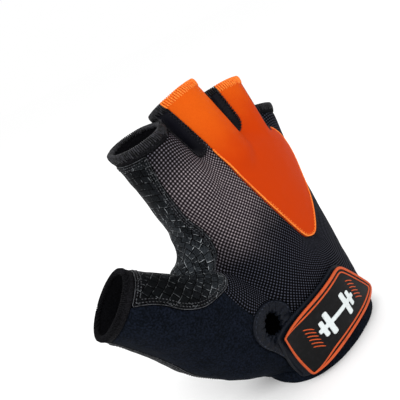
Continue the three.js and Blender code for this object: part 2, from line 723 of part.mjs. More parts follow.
for (const [index, row] of MOTIF.ribs.rows.entries()) {
  for (const [side, name] of [[-1, 'radial'], [1, 'ulnar']]) {
    const { at: reach, wide, high } = MOTIF.ribs;
    const rib = layer(raisedLow, raisedHigh, patch(side * reach, row, wide, high));
    place(`badge_rib_${name}_${index + 1}`, rib, FINISHES.border);
  }
}

export default glove;
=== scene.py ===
"""A half-finger weightlifting glove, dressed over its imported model.

The glove is made again as one smooth hand form from the same named sizes as its solids. The form
is cut along the sewing lines into cloth pieces, each piece is drawn in at its seams and given its
thickness, and the hems, pipings, stitches and the rubber badge are laid on it. Tables are in
millimetres, in the model's own frame; finished meshes are in metres.
"""

import logging
import math
from dataclasses import dataclass, field
from enum import Enum
from functools import partial
from itertools import product
from typing import Callable, Iterable, NamedTuple, Optional, Sequence

import bmesh
import bpy
import numpy as np
from bmesh.types import BMEdge, BMesh, BMVert
from bpy.types import Material, Mesh, Node, NodeSocket, Object
from mathutils import Matrix, Vector, noise
from mathutils.bvhtree import BVHTree
from mathutils.kdtree import KDTree

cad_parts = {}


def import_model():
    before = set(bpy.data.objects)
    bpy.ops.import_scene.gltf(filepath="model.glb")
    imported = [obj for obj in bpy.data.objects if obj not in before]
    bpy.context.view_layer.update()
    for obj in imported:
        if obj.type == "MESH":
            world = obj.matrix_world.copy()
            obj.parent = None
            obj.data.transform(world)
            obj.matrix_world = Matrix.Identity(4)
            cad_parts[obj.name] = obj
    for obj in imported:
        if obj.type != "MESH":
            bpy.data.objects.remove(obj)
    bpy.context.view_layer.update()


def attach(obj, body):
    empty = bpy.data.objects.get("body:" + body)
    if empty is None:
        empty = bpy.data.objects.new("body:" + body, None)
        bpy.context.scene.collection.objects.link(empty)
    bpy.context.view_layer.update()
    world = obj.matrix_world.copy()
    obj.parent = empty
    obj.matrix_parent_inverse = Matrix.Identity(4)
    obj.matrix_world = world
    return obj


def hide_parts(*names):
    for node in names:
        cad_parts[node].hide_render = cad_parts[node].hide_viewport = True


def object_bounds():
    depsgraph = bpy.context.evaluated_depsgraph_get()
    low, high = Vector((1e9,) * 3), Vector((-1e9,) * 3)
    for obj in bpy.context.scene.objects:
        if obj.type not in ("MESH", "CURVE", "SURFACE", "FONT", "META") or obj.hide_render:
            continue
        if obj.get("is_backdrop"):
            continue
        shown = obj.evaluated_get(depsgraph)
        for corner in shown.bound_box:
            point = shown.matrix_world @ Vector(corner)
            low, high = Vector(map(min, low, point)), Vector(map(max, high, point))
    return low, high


LOG = logging.getLogger("glove")
UV_NAME = "cloth"
METRES = 0.001  # one millimetre in metres
FAR = 70.0  # a depth past the glove on either side
TINY = 1e-12  # keeps a division from one by nothing
FOOT_LENGTH = 1.5  # the round foot of a strip: its length over half its width
EVEN_ROUNDS = 9  # rounds that even out a cloth's own coordinates
FREE_MARK = 0.9  # a point marked above this is on an open edge
TOO_FEW = 3  # a line of no more points than this is left out
SHARP_ANGLE = 60.0  # degrees; an edge of cloth that turns further is shaded sharp

Array = np.ndarray
Distances = Callable[[Array], Array]
Pair = tuple[float, float]
Triple = tuple[float, float, float]
Four = tuple[float, float, float, float]
Line = tuple[Pair, ...]


class Slot(Enum):
    """The record's material slots."""

    MESH = "knit_mesh"
    ORANGE = "orange_cloth"
    GRIP = "grip_leather"
    NEOPRENE = "neoprene"
    GUSSET = "gusset_cloth"
    HEM = "hem_knit"
    RUBBER = "badge_rubber"
    BORDER = "badge_border"
    PRINT = "badge_print"


class Section(NamedTuple):
    """A section across the hand: how wide and deep, and how far its edges turn to the palm."""

    z: float
    x: float
    y: float
    half: float
    back: float
    palm: float
    ulnar: float
    radial: float


class Station(NamedTuple):
    """A place along the thumb, with half its width in the web's plane and across it."""

    x: float
    y: float
    z: float
    across: float
    deep: float


@dataclass(frozen=True)
class Finger:
    """One finger's tube from its knuckle to the middle of its hem."""

    knuckle: Triple
    hem: Triple
    root: float
    end: float
    pad: float
    slant: float = 0.0

    def frame(self) -> tuple[Array, Array]:
        """The direction along the finger and the one towards its palm side."""
        along_it = unit(np.subtract(self.hem, self.knuckle))
        return along_it, unit(np.array([0.0, along_it[2], -along_it[1]]))

    def hem_plane(self) -> tuple[Array, Array]:
        """The middle of the hem and the direction that its plane faces."""
        along_it, palmwards = self.frame()
        return np.array(self.hem), unit(along_it - self.slant * palmwards)


@dataclass(frozen=True)
class Slit:
    """The gap between two fingers, seen along Y, and the gusset's half widths round it."""

    crotch: Pair
    end: Pair
    below: float
    radial: float
    ulnar: float


FINGERS = {
    "index": Finger((-30, 8, 92), (-35.9, 19.8, 125), root=14.3, end=12.3, pad=21, slant=0.34),
    "middle": Finger((-8, 4, 96), (-10.1, 16.2, 132.2), root=13.2, end=12, pad=16),
    "ring": Finger((13, 7, 92), (17.2, 14.9, 125), root=12.6, end=11.2, pad=15),
    "pinky": Finger((29, 13, 83), (36.5, 17, 106.5), root=11.6, end=10, pad=13),
}
SLITS = {
    "index_middle": Slit((-21.4, 109.5), (-24.2, 136), below=2.6, radial=2.6, ulnar=2.6),
    "middle_ring": Slit((3.4, 109), (4.4, 136), below=2.6, radial=3, ulnar=5),
    "ring_pinky": Slit((23, 101), (27.6, 125), below=2.6, radial=3.2, ulnar=3.2),
}


def unit(vector: Array) -> Array:
    """The vector made one long."""
    return vector / np.linalg.norm(vector)


def along(rows: Sequence[Sequence[float]], t: float) -> Array:
    """Reads a table between its rows on a smooth curve.

    Args:
        rows: the table, every row as long.
        t: the place along it, from 0 to 1.

    Returns:
        The row's values there.
    """
    table = np.asarray(rows, float)
    place = t * (len(table) - 1)
    row = min(int(place), len(table) - 2)
    a, b, c, d = (table[min(max(row + step, 0), len(table) - 1)] for step in (-1, 0, 1, 2))
    f = place - row
    bend = (2 * a - 5 * b + 4 * c - d) * f**2 + (3 * b - a - 3 * c + d) * f**3
    return 0.5 * (2 * b + (c - a) * f + bend)


def sewn(rows: Sequence[Sequence[float]], per_span: int = 6) -> Array:
    """Points on the smooth line through the rows of a table."""
    count = (len(rows) - 1) * per_span
    return np.array([along(rows, step / count) for step in range(count + 1)])


def smoothstep(value: Array, low: float, high: float) -> Array:
    """0 under low, 1 over high, and smooth between them."""
    t = np.clip((value - low) / (high - low), 0, 1)
    return t * t * (3 - 2 * t)


def shoulder(gap: Array, roll: float) -> Array:
    """How far a folded edge has dropped at each distance from it, from 1 at the edge to 0."""
    t = 1 - np.clip(gap / roll, 0, 1)
    return 1 - np.sqrt(1 - t * t)


def grown(points: Array, by: float | Array) -> Array:
    """Pushes a closed outline outwards.

    Args:
        points: the outline's corners.
        by: how far, the same all round or one for each corner.

    Returns:
        The corners of the new outline.
    """
    blunt = 0.5
    a = points - np.roll(points, 1, axis=0)
    b = np.roll(points, -1, axis=0) - points
    a /= np.linalg.norm(a, axis=1)[:, None]
    b /= np.linalg.norm(b, axis=1)[:, None]
    normal = np.stack([a[:, 1] + b[:, 1], -a[:, 0] - b[:, 0]], axis=1)
    normal /= np.linalg.norm(normal, axis=1)[:, None]
    mitre = np.maximum(blunt, normal[:, 0] * a[:, 1] - normal[:, 1] * a[:, 0])
    after = np.roll(points, -1, axis=0)
    area = np.sum(points[:, 0] * after[:, 1] - points[:, 1] * after[:, 0])
    return points + normal * (math.copysign(1, area) * by / mitre)[:, None]


def outline_distance(places: Array, outline: Array) -> Array:
    """How far each place is outside a closed outline, seen along Y.

    Args:
        places: the places.
        outline: X and Z of the outline's corners.

    Returns:
        The distances, negative inside.
    """
    spots = places[:, [0, 2]]
    nearest = np.full(len(spots), np.inf)
    inside = np.zeros(len(spots), bool)
    for a, b in zip(outline, np.roll(outline, -1, axis=0)):
        span = b - a
        t = np.clip(((spots - a) @ span) / max(span @ span, TINY), 0, 1)
        gap = spots - (a + t[:, None] * span)
        nearest = np.minimum(nearest, np.einsum("ij,ij->i", gap, gap))
        crosses = (a[1] > spots[:, 1]) != (b[1] > spots[:, 1])
        if a[1] != b[1]:
            at_x = a[0] + (spots[:, 1] - a[1]) / (b[1] - a[1]) * span[0]
            inside ^= crosses & (spots[:, 0] < at_x)
    return np.where(inside, -1, 1) * np.sqrt(nearest)


def add_ring(mesh: BMesh, places: Array) -> list[BMEdge]:
    """Adds a closed line of points to a mesh.

    Args:
        mesh: the mesh.
        places: the points.

    Returns:
        The line's edges.
    """
    made = bmesh.ops.create_circle(mesh, cap_ends=False, segments=len(places), radius=1)
    for vert, place in zip(made["verts"], places):
        vert.co = place
    return list({edge for vert in made["verts"] for edge in vert.link_edges})


def loft(rings: Sequence[Array]) -> BMesh:
    """A closed form through rings of as many points each, its ends filled.

    Args:
        rings: the rings' points, in order along the form.

    Returns:
        The form as a new mesh.
    """
    form = bmesh.new()
    loops = [add_ring(form, ring) for ring in rings]
    for low, high in zip(loops, loops[1:]):
        bmesh.ops.bridge_loops(form, edges=low + high)
    bmesh.ops.holes_fill(form, edges=form.edges[:], sides=0)
    bmesh.ops.recalc_face_normals(form, faces=form.faces[:])
    return form


def tube(stations: Iterable[tuple], sides: int, side: Sequence[float]) -> BMesh:
    """A tube of elliptic sections.

    Args:
        stations: point, direction, half width, half depth and slant of each section.
        sides: how many points are in a section.
        side: the direction of the width.

    Returns:
        The tube as a new mesh.
    """
    rings = []
    angle = np.linspace(0, math.tau, sides, endpoint=False)[:, None]
    for point, direction, across, deep, slant in stations:
        u = unit(np.asarray(side) - direction * np.dot(side, direction))
        w = np.cross(direction, u)
        reach = u * across * np.cos(angle) + (w + slant * direction) * deep * np.sin(angle)
        rings.append(point + reach)
    return loft(rings)


def strip(slit: Slit, below: float, radial: float, ulnar: float, wider: float = 0) -> Array:
    """A strip round a slit's line, from below its crotch to past the hems.

    Args:
        slit: the slit.
        below: how far the strip reaches below the crotch.
        radial: its width on the thumb's side of the line.
        ulnar: its width on the little finger's side.
        wider: how much more each width is at the hems.

    Returns:
        The strip's corners in X and Z, its foot round.
    """
    foot_points = 13
    crotch, end = np.array(slit.crotch), np.array(slit.end)
    line = unit(end - crotch)
    across = np.array([line[1], -line[0]])
    middle, half = (ulnar - radial) / 2, (ulnar + radial) / 2
    turn = np.linspace(math.pi, math.tau, foot_points)[:, None]
    centre = crotch + line * (FOOT_LENGTH * half - below) + across * middle
    foot = centre + across * half * np.cos(turn) + line * FOOT_LENGTH * half * np.sin(turn)
    return np.array([end - across * (radial + wider), *foot, end + across * (ulnar + wider)])


def object_of(name: str, mesh: BMesh | Mesh) -> Object:
    """Puts a mesh into the scene; a bmesh is freed.

    Args:
        name: the object's name.
        mesh: its shape.

    Returns:
        The new object.
    """
    if isinstance(mesh, BMesh):
        data = bpy.data.meshes.new(name)
        mesh.to_mesh(data)
        mesh.free()
    else:
        data = mesh
    made = bpy.data.objects.new(name, data)
    bpy.context.scene.collection.objects.link(made)
    return made


def modifier(made: Object, kind: str, **settings: object) -> None:
    """Adds a modifier.

    Args:
        made: the object that gets it.
        kind: its type.
        settings: its settings.
    """
    added = made.modifiers.new(kind.lower(), kind)
    for name, value in settings.items():
        setattr(added, name, value)


def apply_modifiers(made: Object) -> None:
    """Applies an object's modifiers to its mesh.

    Args:
        made: the object.
    """
    graph = bpy.context.evaluated_depsgraph_get()
    baked = bpy.data.meshes.new_from_object(made.evaluated_get(graph))
    made.modifiers.clear()
    made.data = baked


@dataclass(frozen=True)
class HandForm:
    """The glove's outer form, as full as the hand in it and carried out past every opening."""

    sections: tuple[Section, ...] = (
        Section(0, -2, 0, 33.5, 19.5, 21, 0, 1),
        Section(14, -1.3, 0.5, 33.3, 19.5, 21, 1, 1),
        Section(30, 0, 2, 34, 18.5, 21, 3, 0),
        Section(50, 0, 4, 36.5, 17.5, 20.5, 5, 0),
        Section(70, 0, 6, 38.5, 17, 20, 7, 1),
        Section(86, -0.5, 7.5, 41, 16.5, 19.5, 7.5, 2),
        Section(98, -2.5, 10, 38, 16.5, 15.5, 6, 3),
        Section(106, -5, 12, 28, 13, 10, 6, 3),
    )
    squareness: float = 0.85
    thumb: tuple[Station, ...] = (
        Station(-15.5, 4.4, 9.5, 17.5, 15.8),
        Station(-31.3, 7.6, 24.4, 20.6, 18),
        Station(-47.6, 8.7, 39.6, 22.2, 17.5),
        Station(-61.9, 11, 53, 22.9, 16),
        Station(-73.8, 15.1, 65.7, 21.3, 14.6),
        Station(-83.4, 20.8, 76.5, 19, 13.4),
    )
    thumb_side: Triple = (0.62, 0.0, -0.78)
    web_corners: Line = ((-24, 44), (-34, 84), (-42.6, 84))
    web_heel: Pair = (-64, 57)
    notch: Pair = (-48, 76.5)
    notch_radius: float = 5.4
    notch_turn: Pair = (0.35, -1.9)
    notch_points: int = 9
    web_profile: Line = ((24.5, 5), (21, 1.5), (14, 0), (8, 1.5), (4.6, 5))
    behind: float = 18.0
    sunk: float = 5.0
    slim: float = 0.86
    pad_end: float = 0.87
    reach: float = 9.0
    hand_steps: int = 30
    hand_sides: int = 60
    thumb_steps: int = 24
    finger_sides: int = 40
    slit_width: float = 1.7
    slit_spread: float = 1.2
    voxel: float = 0.75
    smoothing: int = 34
    smooth_by: float = 0.5
    swell: float = 0.25

    def hand(self) -> BMesh:
        """The hand from below the wrist to the knuckles.

        Returns:
            The form as a new mesh.
        """
        angle = np.linspace(0, math.tau, self.hand_sides, endpoint=False)
        x = np.sign(np.cos(angle)) * np.abs(np.cos(angle)) ** self.squareness
        y = np.sign(np.sin(angle)) * np.abs(np.sin(angle)) ** self.squareness

        def ring(t: float, z: Optional[float] = None) -> Array:
            """The outline at a place along the sections, or at a height of its own."""
            row = Section(*along(self.sections, t))
            edge = row.ulnar * np.maximum(0, x) ** 2 + row.radial * np.maximum(0, -x) ** 2
            deep = np.where(y > 0, row.palm, row.back)
            height = np.full_like(x, row.z if z is None else z)
            return np.stack([row.x + x * row.half, row.y + y * deep + edge, height], axis=1)

        upwards = (ring(step / self.hand_steps) for step in range(self.hand_steps + 1))
        return loft([ring(0, -self.reach), *upwards])

    def finger(self, finger: Finger) -> BMesh:
        """One finger's tube, from inside the hand to past its hem.

        Args:
            finger: the finger.

        Returns:
            The tube as a new mesh.
        """
        direction, palmwards = finger.frame()
        knuckle = np.array(finger.knuckle)
        length = np.linalg.norm(np.subtract(finger.hem, finger.knuckle))

        def station(t: float, beyond: float = 0, sunk: float = 0, slim: float = 1) -> tuple:
            """A section between the knuckle and the hem, moved on or down or made slimmer."""
            across = finger.root + (finger.end - finger.root) * t
            palm = finger.pad + (finger.end - finger.pad) * min(1, t / self.pad_end)
            deep = (across + palm) / 2
            point = knuckle + direction * (length * t + beyond) + palmwards * (deep - across + sunk)
            return point, direction, across * slim, deep * slim, finger.slant if t == 1 else 0

        stations = [
            station(0, -self.behind, self.sunk, self.slim),
            station(0),
            station(0.5),
            station(1),
            station(1, self.reach),
        ]
        return tube(stations, self.finger_sides, (1, 0, 0))

    def thumb_end(self) -> tuple[Array, Array]:
        """The middle of the thumb's hem and its direction there."""
        just_before = 0.999
        near = along(self.thumb, just_before)[:3]
        end = np.array(self.thumb[-1][:3])
        return end, unit(end - near)

    def thumb_tube(self) -> BMesh:
        """The thumb with its ball, to past its hem.

        Returns:
            The tube as a new mesh.
        """
        rows = [along(self.thumb, step / self.thumb_steps) for step in range(self.thumb_steps + 1)]
        tangents = np.gradient(np.array([row[:3] for row in rows]), axis=0)
        stations = [
            (row[:3], unit(tangent), row[3], row[4], 0) for row, tangent in zip(rows, tangents)
        ]
        point, direction, across, deep, slant = stations[-1]
        stations.append((point + direction * self.reach, direction, across, deep, slant))
        return tube(stations, self.finger_sides, self.thumb_side)

    def web(self) -> BMesh:
        """The web between the thumb and the index finger, its edges rounded to a lip.

        Returns:
            The form as a new mesh.
        """
        turn = np.linspace(*self.notch_turn, self.notch_points)
        notch = np.array(self.notch) + self.notch_radius * np.stack([np.cos(turn), np.sin(turn)], 1)
        outline = np.array([*self.web_corners, *notch, self.web_heel])
        return loft([np.insert(grown(outline, -by), 1, y, axis=1) for y, by in self.web_profile])

    def build(self, fingers: Iterable[Finger], slits: Iterable[Slit]) -> Object:
        """Joins the forms, cuts the slits and smooths the whole.

        Args:
            fingers: the four fingers.
            slits: the gaps between them.

        Returns:
            The glove's full form as one closed mesh, in millimetres.
        """
        whole = bmesh.new()
        for part in (self.hand(), self.thumb_tube(), self.web(), *map(self.finger, fingers)):
            data = bpy.data.meshes.new("part")
            part.to_mesh(data)
            part.free()
            whole.from_mesh(data)
            bpy.data.meshes.remove(data)
        form = object_of("hand_form", whole)
        voxels = {"mode": "VOXEL", "voxel_size": self.voxel, "use_smooth_shade": True}
        modifier(form, "REMESH", **voxels)
        apply_modifiers(form)
        half = self.slit_width / 2
        cutters = []
        for slit in slits:
            outline = strip(slit, half, half, half, self.slit_spread / 2)
            ends = [np.insert(outline, 1, y, axis=1) for y in (-FAR, FAR)]
            cutter = object_of("slit", loft(ends))
            modifier(form, "BOOLEAN", operation="DIFFERENCE", solver="MANIFOLD", object=cutter)
            cutters.append(cutter)
        modifier(form, "REMESH", **voxels)
        modifier(form, "SMOOTH", factor=self.smooth_by, iterations=self.smoothing)
        modifier(form, "DISPLACE", strength=self.swell, mid_level=0)
        apply_modifiers(form)
        for cutter in cutters:
            bpy.data.objects.remove(cutter)
        return form


@dataclass
class Path:
    """A line on the glove with the outward direction at each point, in millimetres."""

    places: Array
    normals: Array
    closed: bool = False

    def length(self) -> float:
        """How long it is."""
        return float(np.linalg.norm(np.diff(self.places, axis=0), axis=1).sum())

    def smoothed(self, rounds: int = 3) -> "Path":
        """The same line with its small kinks averaged out.

        Args:
            rounds: how many times each point moves towards its neighbours.

        Returns:
            The new line.
        """
        places = self.places.copy()
        for _ in range(rounds):
            before, after = np.roll(places, 1, axis=0), np.roll(places, -1, axis=0)
            moved = (before + 2 * places + after) / 4
            if not self.closed:
                moved[0], moved[-1] = places[0], places[-1]
            places = moved
        return Path(places, self.normals, self.closed)

    def spaced(self, step: float) -> "Path":
        """The same line with its points evenly apart.

        Args:
            step: about how far.

        Returns:
            The new line.
        """
        places, normals = self.places, self.normals
        if self.closed:
            places = np.vstack([places, places[:1]])
            normals = np.vstack([normals, normals[:1]])
        run = np.concatenate([[0], np.cumsum(np.linalg.norm(np.diff(places, axis=0), axis=1))])
        count = max(3, round(run[-1] / step))
        wanted = np.linspace(0, run[-1], count + 1)
        if self.closed:
            wanted = wanted[:-1]
        places, normals = (
            np.stack([np.interp(wanted, run, part[:, k]) for k in range(3)], 1)
            for part in (places, normals)
        )
        normals /= np.linalg.norm(normals, axis=1)[:, None]
        return Path(places, normals, self.closed)

    def ordered(self) -> "Path":
        """The same line, always run through the same way round and from the same place.

        Returns:
            The new line; a closed one starts at its lowest X.
        """
        spokes = self.places - self.places.mean(axis=0)
        area = np.cross(spokes, np.roll(spokes, -1, axis=0)).sum(axis=0)
        way = 1 if area[1] + area[2] > 0 else -1
        places, normals = self.places[::way], self.normals[::way]
        start = int(places[:, 0].argmin()) if self.closed else 0
        return Path(np.roll(places, -start, axis=0), np.roll(normals, -start, axis=0), self.closed)

    def lifted(self, by: float) -> "Path":
        """The same line moved outwards."""
        return Path(self.places + self.normals * by, self.normals, self.closed)

    def kept(self, keep: Array) -> list["Path"]:
        """The stretches of the line whose points are kept.

        Args:
            keep: whether each point is.

        Returns:
            A line for each stretch, or this line where it is kept whole.
        """
        if keep.all():
            return [self]
        places, normals = self.places, self.normals
        if self.closed:
            turn = int(np.argmin(keep))
            places, normals, keep = (np.roll(part, -turn, axis=0) for part in (places, normals, keep))
        paths, run = [], []
        for index, wanted in enumerate([*keep, False]):
            if wanted:
                run.append(index)
            elif run:
                if len(run) > TOO_FEW:
                    paths.append(Path(places[run], normals[run]))
                run = []
        return paths

    def tangents(self) -> Array:
        """The direction of the line at each point.

        Returns:
            The directions, each one long.
        """
        if self.closed:
            step = np.roll(self.places, -1, axis=0) - np.roll(self.places, 1, axis=0)
        else:
            step = np.gradient(self.places, axis=0)
        return step / np.maximum(np.linalg.norm(step, axis=1), TINY)[:, None]


def cut_sheet(sheet: BMesh, distance: Distances) -> BMesh:
    """Cuts a sheet along the line where a distance is 0.

    Args:
        sheet: the sheet; it keeps what lies outside the line.
        distance: gives each place's distance, negative inside.

    Returns:
        What lies inside, as a new mesh that shares the line's points.
    """
    snap = 0.14  # a point nearer to the line than this share of its edge moves onto it
    verts = list(sheet.verts)
    sheet.verts.index_update()
    values = distance(np.array([vert.co for vert in verts]))
    ends = np.array([(edge.verts[0].index, edge.verts[1].index) for edge in sheet.edges])
    a, b = values[ends[:, 0]], values[ends[:, 1]]
    crossing = np.nonzero((a < 0) != (b < 0))[0]
    edges = list(sheet.edges)
    on_line = set()
    split = []
    for index in crossing:
        edge = edges[index]
        low, high = ends[index]
        t = values[low] / (values[low] - values[high])
        if t < snap or t > 1 - snap:
            near = low if t < snap else high
            if near not in on_line:
                verts[near].co = verts[low].co.lerp(verts[high].co, t)
                on_line.add(near)
        split.append((edge, low, high))
    side = sheet.verts.layers.float.get("side") or sheet.verts.layers.float.new("side")
    verts = list(sheet.verts)
    for index, vert in enumerate(verts):
        vert[side] = 0.0 if index in on_line else float(values[index])
    seam = [verts[index] for index in on_line]
    for edge, low, high in split:
        if low in on_line or high in on_line:
            continue
        start = verts[low] if edge.verts[0] == verts[low] else verts[high]
        t = start[side] / (start[side] - edge.other_vert(start)[side])
        _, made = bmesh.utils.edge_split(edge, start, t)
        made[side] = 0.0
        seam.append(made)
    bmesh.ops.connect_verts(sheet, verts=seam)
    inside = [sum(vert[side] for vert in face.verts) < 0 for face in sheet.faces]
    piece = sheet.copy()
    for mesh, unwanted in ((sheet, True), (piece, False)):
        faces = [face for face, within in zip(mesh.faces, inside) if within == unwanted]
        bmesh.ops.delete(mesh, geom=faces, context="FACES")
    return piece


class Sheet:
    """A cut piece of cloth while it is being shaped, in millimetres."""

    def __init__(self, mesh: BMesh) -> None:
        """Keeps the mesh and finds what is stored at its points.

        Args:
            mesh: the piece as it was cut out of the skin.
        """
        self.mesh = mesh
        self.outward = mesh.verts.layers.float_vector["outward"]
        self.free = mesh.verts.layers.float["free"]
        self.height = mesh.verts.layers.float["height"]
        self.seam_gap: Array = np.zeros(0)
        self.free_gap: Array = np.zeros(0)

    def gaps(self) -> None:
        """Measures how far each point is from the seams and from the open edges."""
        trees = []
        for wanted in (False, True):
            spots = []
            for edge in self.mesh.edges:
                if len(edge.link_faces) != 1:
                    continue
                if all(vert[self.free] > FREE_MARK for vert in edge.verts) == wanted:
                    a, b = (vert.co for vert in edge.verts)
                    spots += [a, a.lerp(b, 0.5), b]
            tree = KDTree(len(spots))
            for index, spot in enumerate(spots):
                tree.insert(spot, index)
            tree.balance()
            trees.append(tree if spots else None)
        gaps = [
            np.array([tree.find(vert.co)[2] if tree else FAR for vert in self.mesh.verts])
            for tree in trees
        ]
        self.seam_gap, self.free_gap = gaps

    def refine(self, within: float) -> None:
        """Halves the faces near the edges.

        Args:
            within: how near; FAR halves them all.
        """
        self.gaps()
        near = np.minimum(self.seam_gap, self.free_gap) < within
        self.mesh.verts.index_update()
        edges = [edge for edge in self.mesh.edges if all(near[vert.index] for vert in edge.verts)]
        bmesh.ops.subdivide_edges(self.mesh, edges=edges, cuts=1, use_grid_fill=True)
        self.gaps()

    def raise_by(self, height: Callable[["Sheet"], Array]) -> None:
        """Moves every point outwards by its own height.

        Args:
            height: gives the heights of a sheet's points.
        """
        for vert, up in zip(self.mesh.verts, height(self)):
            vert.co += vert[self.outward] * float(up)
            vert[self.height] += float(up)

    def contours(self, values: Array, level: float) -> list["Path"]:
        """The lines on the sheet along which a value is at a level.

        Args:
            values: the value at every point.
            level: the level.

        Returns:
            The lines.
        """
        self.mesh.verts.index_update()
        self.mesh.edges.index_update()
        spots: dict[int, tuple[Vector, Vector]] = {}
        for edge in self.mesh.edges:
            a, b = edge.verts
            low, high = values[a.index] - level, values[b.index] - level
            if (low < 0) != (high < 0):
                t = low / (low - high)
                spots[edge.index] = a.co.lerp(b.co, t), a[self.outward].lerp(b[self.outward], t)
        links: dict[int, list[int]] = {index: [] for index in spots}
        for face in self.mesh.faces:
            met = [edge.index for edge in face.edges if edge.index in spots]
            if len(met) == 2:
                links[met[0]].append(met[1])
                links[met[1]].append(met[0])
        paths = []
        unused = set(spots)
        starts = [index for index in spots if len(links[index]) == 1] + list(spots)
        for start in starts:
            if start not in unused:
                continue
            chain = [start]
            unused.discard(start)
            while True:
                ahead = [index for index in links[chain[-1]] if index in unused]
                if not ahead:
                    break
                chain.append(ahead[0])
                unused.discard(ahead[0])
            if len(chain) > TOO_FEW:
                places, normals = (np.array([spots[index][k] for index in chain]) for k in (0, 1))
                paths.append(Path(places, normals, chain[0] in links[chain[-1]]))
        return paths


class Thread:
    """Strands of one thread or cord, made into one mesh."""

    stitch_rise = (-0.25, 0.6, 1.0, 0.6, -0.25)
    stitch_width = (0.45, 0.95, 1.0, 0.95, 0.45)

    def __init__(self, name: str, radius: float, roundness: int = 1) -> None:
        """Starts the thread.

        Args:
            name: the piece's name.
            radius: half its thickness.
            roundness: how many faces more its section has.
        """
        self.curve = bpy.data.curves.new(name, "CURVE")
        self.curve.dimensions = "3D"
        self.curve.bevel_depth = radius
        self.curve.bevel_resolution = roundness
        self.curve.use_fill_caps = True
        self.name = name

    def strand(self, places: Array, widths: Optional[Sequence[float]] = None,
               closed: bool = False) -> None:
        """Adds one strand.

        Args:
            places: the points that it runs through.
            widths: its thickness at each point, over the thread's own.
            closed: whether its end joins its start.
        """
        spline = self.curve.splines.new("POLY")
        spline.points.add(len(places) - 1)
        spline.points.foreach_set("co", np.insert(places, 3, 1.0, axis=1).ravel())
        if widths is not None:
            spline.points.foreach_set("radius", np.asarray(widths, float))
        spline.use_cyclic_u = closed

    def stitches(self, path: Path, pitch: float) -> None:
        """Adds a row of straight stitches along a line.

        Args:
            path: the line on the cloth.
            pitch: from one stitch to the next.
        """
        part, lift = 0.62, 0.12
        beads = len(self.stitch_rise) - 1
        even = path.smoothed().spaced(pitch / beads)
        count = len(even.places) // beads
        for stitch in range(count):
            first = stitch * beads
            rows = [(first + step) % len(even.places) for step in range(beads + 1)]
            if rows[-1] < rows[0] and not even.closed:
                continue
            places = even.places[rows]
            middle = places.mean(axis=0)
            places = middle + (places - middle) * part
            heights = np.array(self.stitch_rise) * lift
            places = places + even.normals[rows] * heights[:, None]
            self.strand(places, self.stitch_width)

    def zigzag(self, path: Path, pitch: float, swing: float, lift: float) -> None:
        """Adds a zigzag that swings to both sides of a line.

        Args:
            path: the line.
            pitch: from one point of the zigzag to the next on the same side.
            swing: how far it swings.
            lift: how far it stands over the line.
        """
        even = path.smoothed().spaced(pitch / 2)
        across = np.cross(even.tangents(), even.normals)
        sway = np.where(np.arange(len(across)) % 2 == 0, swing, -swing)[:, None]
        self.strand(even.places + across * sway + even.normals * lift, closed=even.closed)

    def build(self) -> Object:
        """Makes the mesh of all strands.

        Returns:
            The object, in millimetres.
        """
        holder = bpy.data.objects.new(self.name, self.curve)
        bpy.context.scene.collection.objects.link(holder)
        graph = bpy.context.evaluated_depsgraph_get()
        data = bpy.data.meshes.new_from_object(holder.evaluated_get(graph))
        bpy.data.objects.remove(holder)
        bpy.data.curves.remove(self.curve)
        data.materials.clear()
        data.name = self.name
        return object_of(self.name, data)


@dataclass(frozen=True)
class Reading:
    """A number in a material, from a socket; arithmetic on it adds Math nodes."""

    graph: "Graph"
    socket: NodeSocket

    def __add__(self, other: "Reading | float") -> "Reading":
        """This number and another."""
        return self.graph.math("ADD", self, other)

    __radd__ = __add__

    def __mul__(self, other: "Reading | float") -> "Reading":
        """This number times another."""
        return self.graph.math("MULTIPLY", self, other)

    __rmul__ = __mul__

    def __sub__(self, other: "Reading | float") -> "Reading":
        """This number less another."""
        return self.graph.math("SUBTRACT", self, other)

    def __rsub__(self, other: float) -> "Reading":
        """Another number less this."""
        return self.graph.math("SUBTRACT", other, self)

    def __truediv__(self, other: "Reading | float") -> "Reading":
        """This number over another."""
        return self.graph.math("DIVIDE", self, other)

    def cosine(self) -> "Reading":
        """The cosine of the number."""
        return self.graph.math("COSINE", self)

    def step(self, low: float, high: float) -> "Reading":
        """Eases the number from 0 to 1.

        Args:
            low: what becomes 0, with all under it.
            high: what becomes 1, with all over it.

        Returns:
            The eased number.
        """
        ranged = self.graph.node(
            "ShaderNodeMapRange",
            {"interpolation_type": "SMOOTHSTEP"},
            {"Value": self, "From Min": low, "From Max": high},
        )
        return Reading(self.graph, ranged.outputs["Result"])


